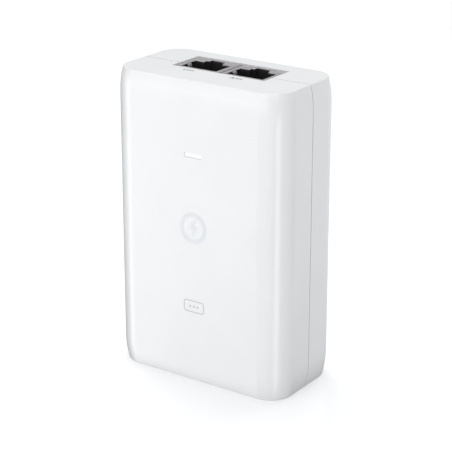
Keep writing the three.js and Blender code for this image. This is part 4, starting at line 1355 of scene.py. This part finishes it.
@dataclass
class ModularJack:
    """One shielded jack: its folded can with sprung earthing fingers, its body and its eight contacts."""

    palette: Palette
    port: Port
    rows: Recipe
    shield_edge: float = 0.00012
    body_edge: float = 0.0001
    contact_count: int = 8
    contact_pitch: float = 0.00102
    contact_width: float = 0.00046
    contact_thickness: float = 0.0003
    contact_edge: float = 0.00005
    upper_bend: float = 0.0007
    tip_bend: float = 0.0009
    tip_drop: float = 0.0074

    def refinish(self, part: str, finished: str, slot: str, edge: float) -> None:
        """Dresses one of the jack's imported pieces.

        Args:
            part: the piece, as its node's name ends.
            finished: how the finished piece's name ends.
            slot: its material slot.
            edge: how far its edges are rounded.
        """
        node = f"{self.port.value}_{part}"
        piece = refined(node, edge)
        place(piece, f"{self.port.value}_{finished}", self.palette.get(slot), node, slot=slot)

    def contacts(self) -> None:
        """Builds the row of sprung contacts with rounded bends."""
        nodes = [f"{self.port.value}_contact_{i + 1}" for i in range(self.contact_count)]
        low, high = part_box(nodes[0])
        middle = (low.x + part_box(nodes[-1])[1].x) / 2
        half = self.contact_thickness / 2
        near, far, top = low.y + half, high.y - half, high.z - half
        bend, tip = self.upper_bend, self.tip_bend
        spine = [(near, low.z)]
        spine += arc((near + bend, top - bend), bend, 180, 75, 7)
        spine += arc((far - tip, top - self.tip_drop), tip, 25, -20, 5)
        width = (-self.contact_width / 2, self.contact_width / 2)
        contact = prism(ribbon(spine, self.contact_thickness), Axis.X, width)
        soften(contact, self.contact_edge, segments=2)
        gold = self.palette.get("contact_gold")
        row = self.rows.make(
            "contacts", gold, Item=contact, Count=self.contact_count, Pitch=self.contact_pitch
        )
        bpy.data.objects.remove(contact)
        row.data.transform(Matrix.Translation((middle, 0, 0)))
        place(row, f"{self.port.value}_contacts", gold, *nodes, slot="contact_gold")

    def build(self) -> None:
        """Builds the whole jack."""
        self.refinish("jack_shield", "jack_can", "shield_metal", self.shield_edge)
        self.refinish("jack_body", "jack_insert", "black_plastic", self.body_edge)
        self.contacts()


def ribbon(spine: Sequence[Point], thickness: float) -> list[Point]:
    """Gives the outline of a strip of even thickness along a bent line.

    Args:
        spine: the points of its middle line.
        thickness: its thickness.

    Returns:
        The closed outline's points.
    """
    line = [Vector(point) for point in spine]
    left, right = [], []
    for i, point in enumerate(line):
        along = (line[min(i + 1, len(line) - 1)] - line[max(i - 1, 0)]).normalized()
        side = Vector((-along.y, along.x)) * thickness / 2
        left.append(tuple(point + side))
        right.append(tuple(point - side))
    return left + right[::-1]


# ---------------------------------------------------------------- the rest of the object

@dataclass
class Refinished:
    """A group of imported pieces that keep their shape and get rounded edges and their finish."""

    palette: Palette
    edges: dict[str, float]

    def build(self) -> None:
        """Dresses each piece by the material slot that the record gives it."""
        slots = {row["node"]: row["material_slot"] for row in frame["record"]["subparts"]}
        for node, edge in self.edges.items():
            slot = slots[node]
            body = BRACKET if node == BRACKET else HOUSING
            place(refined(node, edge), f"{node}_piece", self.palette.get(slot), node, slot=slot, body=body)


@dataclass
class FilterChoke:
    """The common-mode choke: a ring core with wire turns on each side."""

    palette: Palette
    turns: int = 12
    wire_radius: float = 0.0004
    spread: float = 132.0
    ring_radius: float = 0.00645
    loop: tuple[float, float] = (0.0048, 0.0073)
    loop_corner: float = 0.0009
    core_edge: float = 0.0003

    def build(self) -> None:
        """Winds both sides and dresses the core."""
        low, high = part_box("choke_core")
        centre = (low + high) / 2
        recipe = turns_recipe()
        wire = self.palette.get("copper_wire")
        step = math.radians(self.spread / (self.turns - 1))
        for side, middle in (("right", 0.0), ("left", math.pi)):
            start = middle - math.radians(self.spread / 2)
            winding = recipe.make(
                f"choke_turns_{side}", wire, Ring_Radius=self.ring_radius,
                Loop_Width=self.loop[0], Loop_Height=self.loop[1], Loop_Corner=self.loop_corner,
                Wire_Radius=self.wire_radius, Start=start, Step=step, Turns=self.turns,
            )
            winding.data.transform(Matrix.Translation(centre))
            winding.data.shade_smooth()
            place(winding, f"choke_turns_{side}", wire, f"choke_winding_{side}", slot="copper_wire")
        core = refined("choke_core", self.core_edge)
        place(core, "choke_ring", self.palette.get("ferrite"), "choke_core", slot="ferrite")


# ---------------------------------------------------------------- studio

@dataclass(frozen=True)
class Softbox:
    """An area light, placed by its direction from the origin and turned to a target point."""

    name: str
    azimuth: float
    elevation: float
    distance: float
    size: tuple[float, float]
    power: float
    target: tuple[float, float, float] = (0.0, 0.0, 0.045)

    def build(self) -> None:
        """Hangs the light, facing its target."""
        light = bpy.data.lights.new(self.name, "AREA")
        light.shape = "RECTANGLE"
        light.size, light.size_y = self.size
        light.energy = self.power
        lamp = link(bpy.data.objects.new(self.name, light))
        lamp.location = direction(self.azimuth, self.elevation) * self.distance
        back = lamp.location - Vector(self.target)
        lamp.rotation_euler = back.to_track_quat("Z", "Y").to_euler()


def direction(azimuth: float, elevation: float) -> Vector:
    """The way towards an azimuth and elevation in degrees, from the front; azimuth 90 is the right."""
    a, e = math.radians(azimuth), math.radians(elevation)
    return Vector((math.sin(a) * math.cos(e), -math.cos(a) * math.cos(e), math.sin(e)))


def smooth(value: Field, zero: float, one: float) -> Field:
    """Eases from 0 to 1 between two levels of a value.

    Args:
        value: the value that steers it.
        zero: the level that gives 0.
        one: the level that gives 1.

    Returns:
        The eased share.
    """
    node = value.graph.add("ShaderNodeMapRange", interpolation_type="SMOOTHSTEP")
    low, high, start, end = (zero, one, 0.0, 1.0) if zero < one else (one, zero, 1.0, 0.0)
    for socket, setting in zip(node.inputs, (value, low, high, start, end)):
        value.graph.feed(socket, setting)
    return Field(value.graph, node.outputs[0])


@dataclass(frozen=True)
class Glow:
    """A soft-edged upright panel of light in the room, by its azimuth and half width in degrees.

    Its foot and head each give the two heights, as sines of the elevation, between which it fades in or out.
    """

    azimuth: float
    half_width: float
    softness: float
    radiance: float
    foot: Span = (-0.8, -0.55)
    head: Span = (0.1, 0.05)

    def at(self, azimuth: Field, rise: Field) -> Field:
        """Its brightness in a direction.

        Args:
            azimuth: the direction's azimuth in degrees.
            rise: the sine of its elevation.

        Returns:
            The brightness.
        """
        turn = ((azimuth - self.azimuth + 180.0) / 360.0).math("FRACT") * 360.0
        away = (turn - 180.0).math("ABSOLUTE")
        across = smooth(away, self.half_width + self.softness, self.half_width - self.softness)
        return across * smooth(rise, *self.foot) * smooth(rise, *self.head) * self.radiance


@dataclass
class Studio:
    """The camera, the white floor and the soft lights."""

    azimuth: float = 34.85
    elevation: float = 20.0
    lens: float = 125.8
    distance: float = 0.4942
    aim: tuple[float, float, float] = (0.0006, -0.0002, 0.0473)
    surround: float = 0.415
    floor_lift: float = 0.02
    sheen: Span = (0.08, 0.1)
    floor_reach: float = 20.0
    room_colour: Colour = (0.955, 0.98, 1.0)
    glows: tuple[Glow, ...] = (
        Glow(-12.0, 42.0, 20.0, 0.75),
        Glow(-30.0, 34.0, 20.0, 0.4, foot=(-0.3, 0.02)),
        Glow(-53.0, 15.0, 8.0, 3.2),
        Glow(56.0, 9.0, 4.0, 3.3, head=(-0.14, -0.3)),
        Glow(180.0, 38.0, 10.0, 1.0, foot=(-0.55, -0.3)),
    )
    lights: tuple[Softbox, ...] = (
        Softbox("top", 0.0, 88.0, 1.5, (2.4, 2.4), 14.0),
        Softbox("front", -18.0, 11.0, 1.3, (1.4, 0.5), 4.3),
        Softbox("right_front", 40.0, 30.0, 1.6, (0.8, 0.9), 6.1),
        Softbox("rear", 180.0, 45.0, 1.6, (1.2, 1.0), 6.6),
        Softbox("left_rear", -120.0, 50.0, 1.5, (0.9, 0.9), 5.8),
    )

    def camera(self) -> None:
        """Sets the camera up at the object's own viewing angle."""
        data = bpy.data.cameras.new("camera")
        data.lens = self.lens
        data.clip_start = 0.01
        data.clip_end = 60.0
        camera = link(bpy.data.objects.new("camera", data))
        back = direction(self.azimuth, self.elevation)
        camera.location = Vector(self.aim) + back * self.distance
        camera.rotation_euler = back.to_track_quat("Z", "Y").to_euler()
        bpy.context.scene.camera = camera

    def floor(self) -> None:
        """Lays a large pale floor with a soft gloss."""
        reach = self.floor_reach
        floor = block((-reach, reach), (-reach, reach), (-0.02, 0.0))
        floor.name = "floor"
        shader = Shader("floor_white", (1.0, 1.0, 1.0), 0.09)
        shader.set("Roughness", shader.between(shader.noise(40.0), *self.sheen))
        shader.set("Emission Color", (1.0, 1.0, 1.0, 1.0))
        shader.set("Emission Strength", self.floor_lift)
        shader.set("Specular IOR Level", 0.6)
        floor.data.materials.append(shader.material)
        floor.visible_glossy = False

    def surroundings(self) -> None:
        """Fills the room with even light above the floor, and with upright panels for the gloss below it."""
        world = bpy.data.worlds.new("room")
        world.use_nodes = True
        world.cycles.sampling_method = "NONE"
        bpy.context.scene.world = world
        room = Graph(world.node_tree)
        spot = room.add("ShaderNodeSeparateXYZ")
        room.feed(spot.inputs[0], room.add("ShaderNodeTexCoord").outputs["Generated"])
        x, y, rise = (Field(room, socket) for socket in spot.outputs)
        azimuth = x.math("ARCTAN2", y * -1.0) * (180.0 / math.pi)
        low = room.number(0.0)
        for glow in self.glows:
            low = low + glow.at(azimuth, rise)
        camera_ray = Field(room, room.add("ShaderNodeLightPath").outputs["Is Camera Ray"])
        below = rise.math("LESS_THAN", 0.0) * (room.number(1.0) - camera_ray)
        strength = below * low + (room.number(1.0) - below) * self.surround
        background = room.add("ShaderNodeBackground")
        room.feed(background.inputs["Color"], (*self.room_colour, 1.0))
        room.feed(background.inputs["Strength"], strength)
        room.feed(room.add("ShaderNodeOutputWorld").inputs["Surface"], background.outputs[0])

    def build(self) -> None:
        """Sets up everything round the object."""
        self.camera()
        self.floor()
        self.surroundings()
        for light in self.lights:
            light.build()
        bpy.context.scene.view_settings.view_transform = "Standard"


# ---------------------------------------------------------------- assembly

INNER_EDGES = {
    "fuse": 0.0002, "surge_suppressor": 0.0008, "filter_capacitor": 0.0004, "bridge_rectifier": 0.0002,
    "bulk_capacitor": 0.0001, "primary_heat_sink": 0.00015, "switching_transistor": 0.00015,
    "transformer_core": 0.0003, "transformer_winding": 0.0006, "transformer_base": 0.0002,
    "safety_capacitor": 0.0007, "output_heat_sink": 0.00015, "output_rectifier": 0.00015,
    "output_capacitor_lower": 0.0001, "output_capacitor_upper": 0.0001, "output_choke": 0.0002,
    "optocoupler": 0.0001, "line_magnetics": 0.0001, "supply_controller": 0.0001,
    "main_board": 0.0001, "insulation_sheet": 0.00005,
    "board_screw_1": 0.0001, "board_screw_2": 0.0001, "board_screw_3": 0.0001, "board_screw_4": 0.0001,
}
INLET_EDGES = {
    "inlet_housing": 0.0003, "inlet_pin_line": 0.0001, "inlet_pin_neutral": 0.0001, "inlet_pin_earth": 0.0001,
}


def main() -> None:
    """Builds the object and its studio."""
    logging.basicConfig(level=logging.INFO, format="%(message)s")
    Studio().build()
    palette = Palette()
    Case(palette).build()
    marks = Marks(palette)
    marks.build()
    StatusLight(palette).build()
    for port in Port:
        ModularJack(palette, port, marks.rows).build()
    Refinished(palette, INLET_EDGES).build()
    Refinished(palette, INNER_EDGES).build()
    FilterChoke(palette).build()
    Refinished(palette, {BRACKET: 0.0002}).build()


if __name__ == "__main__":
    main()
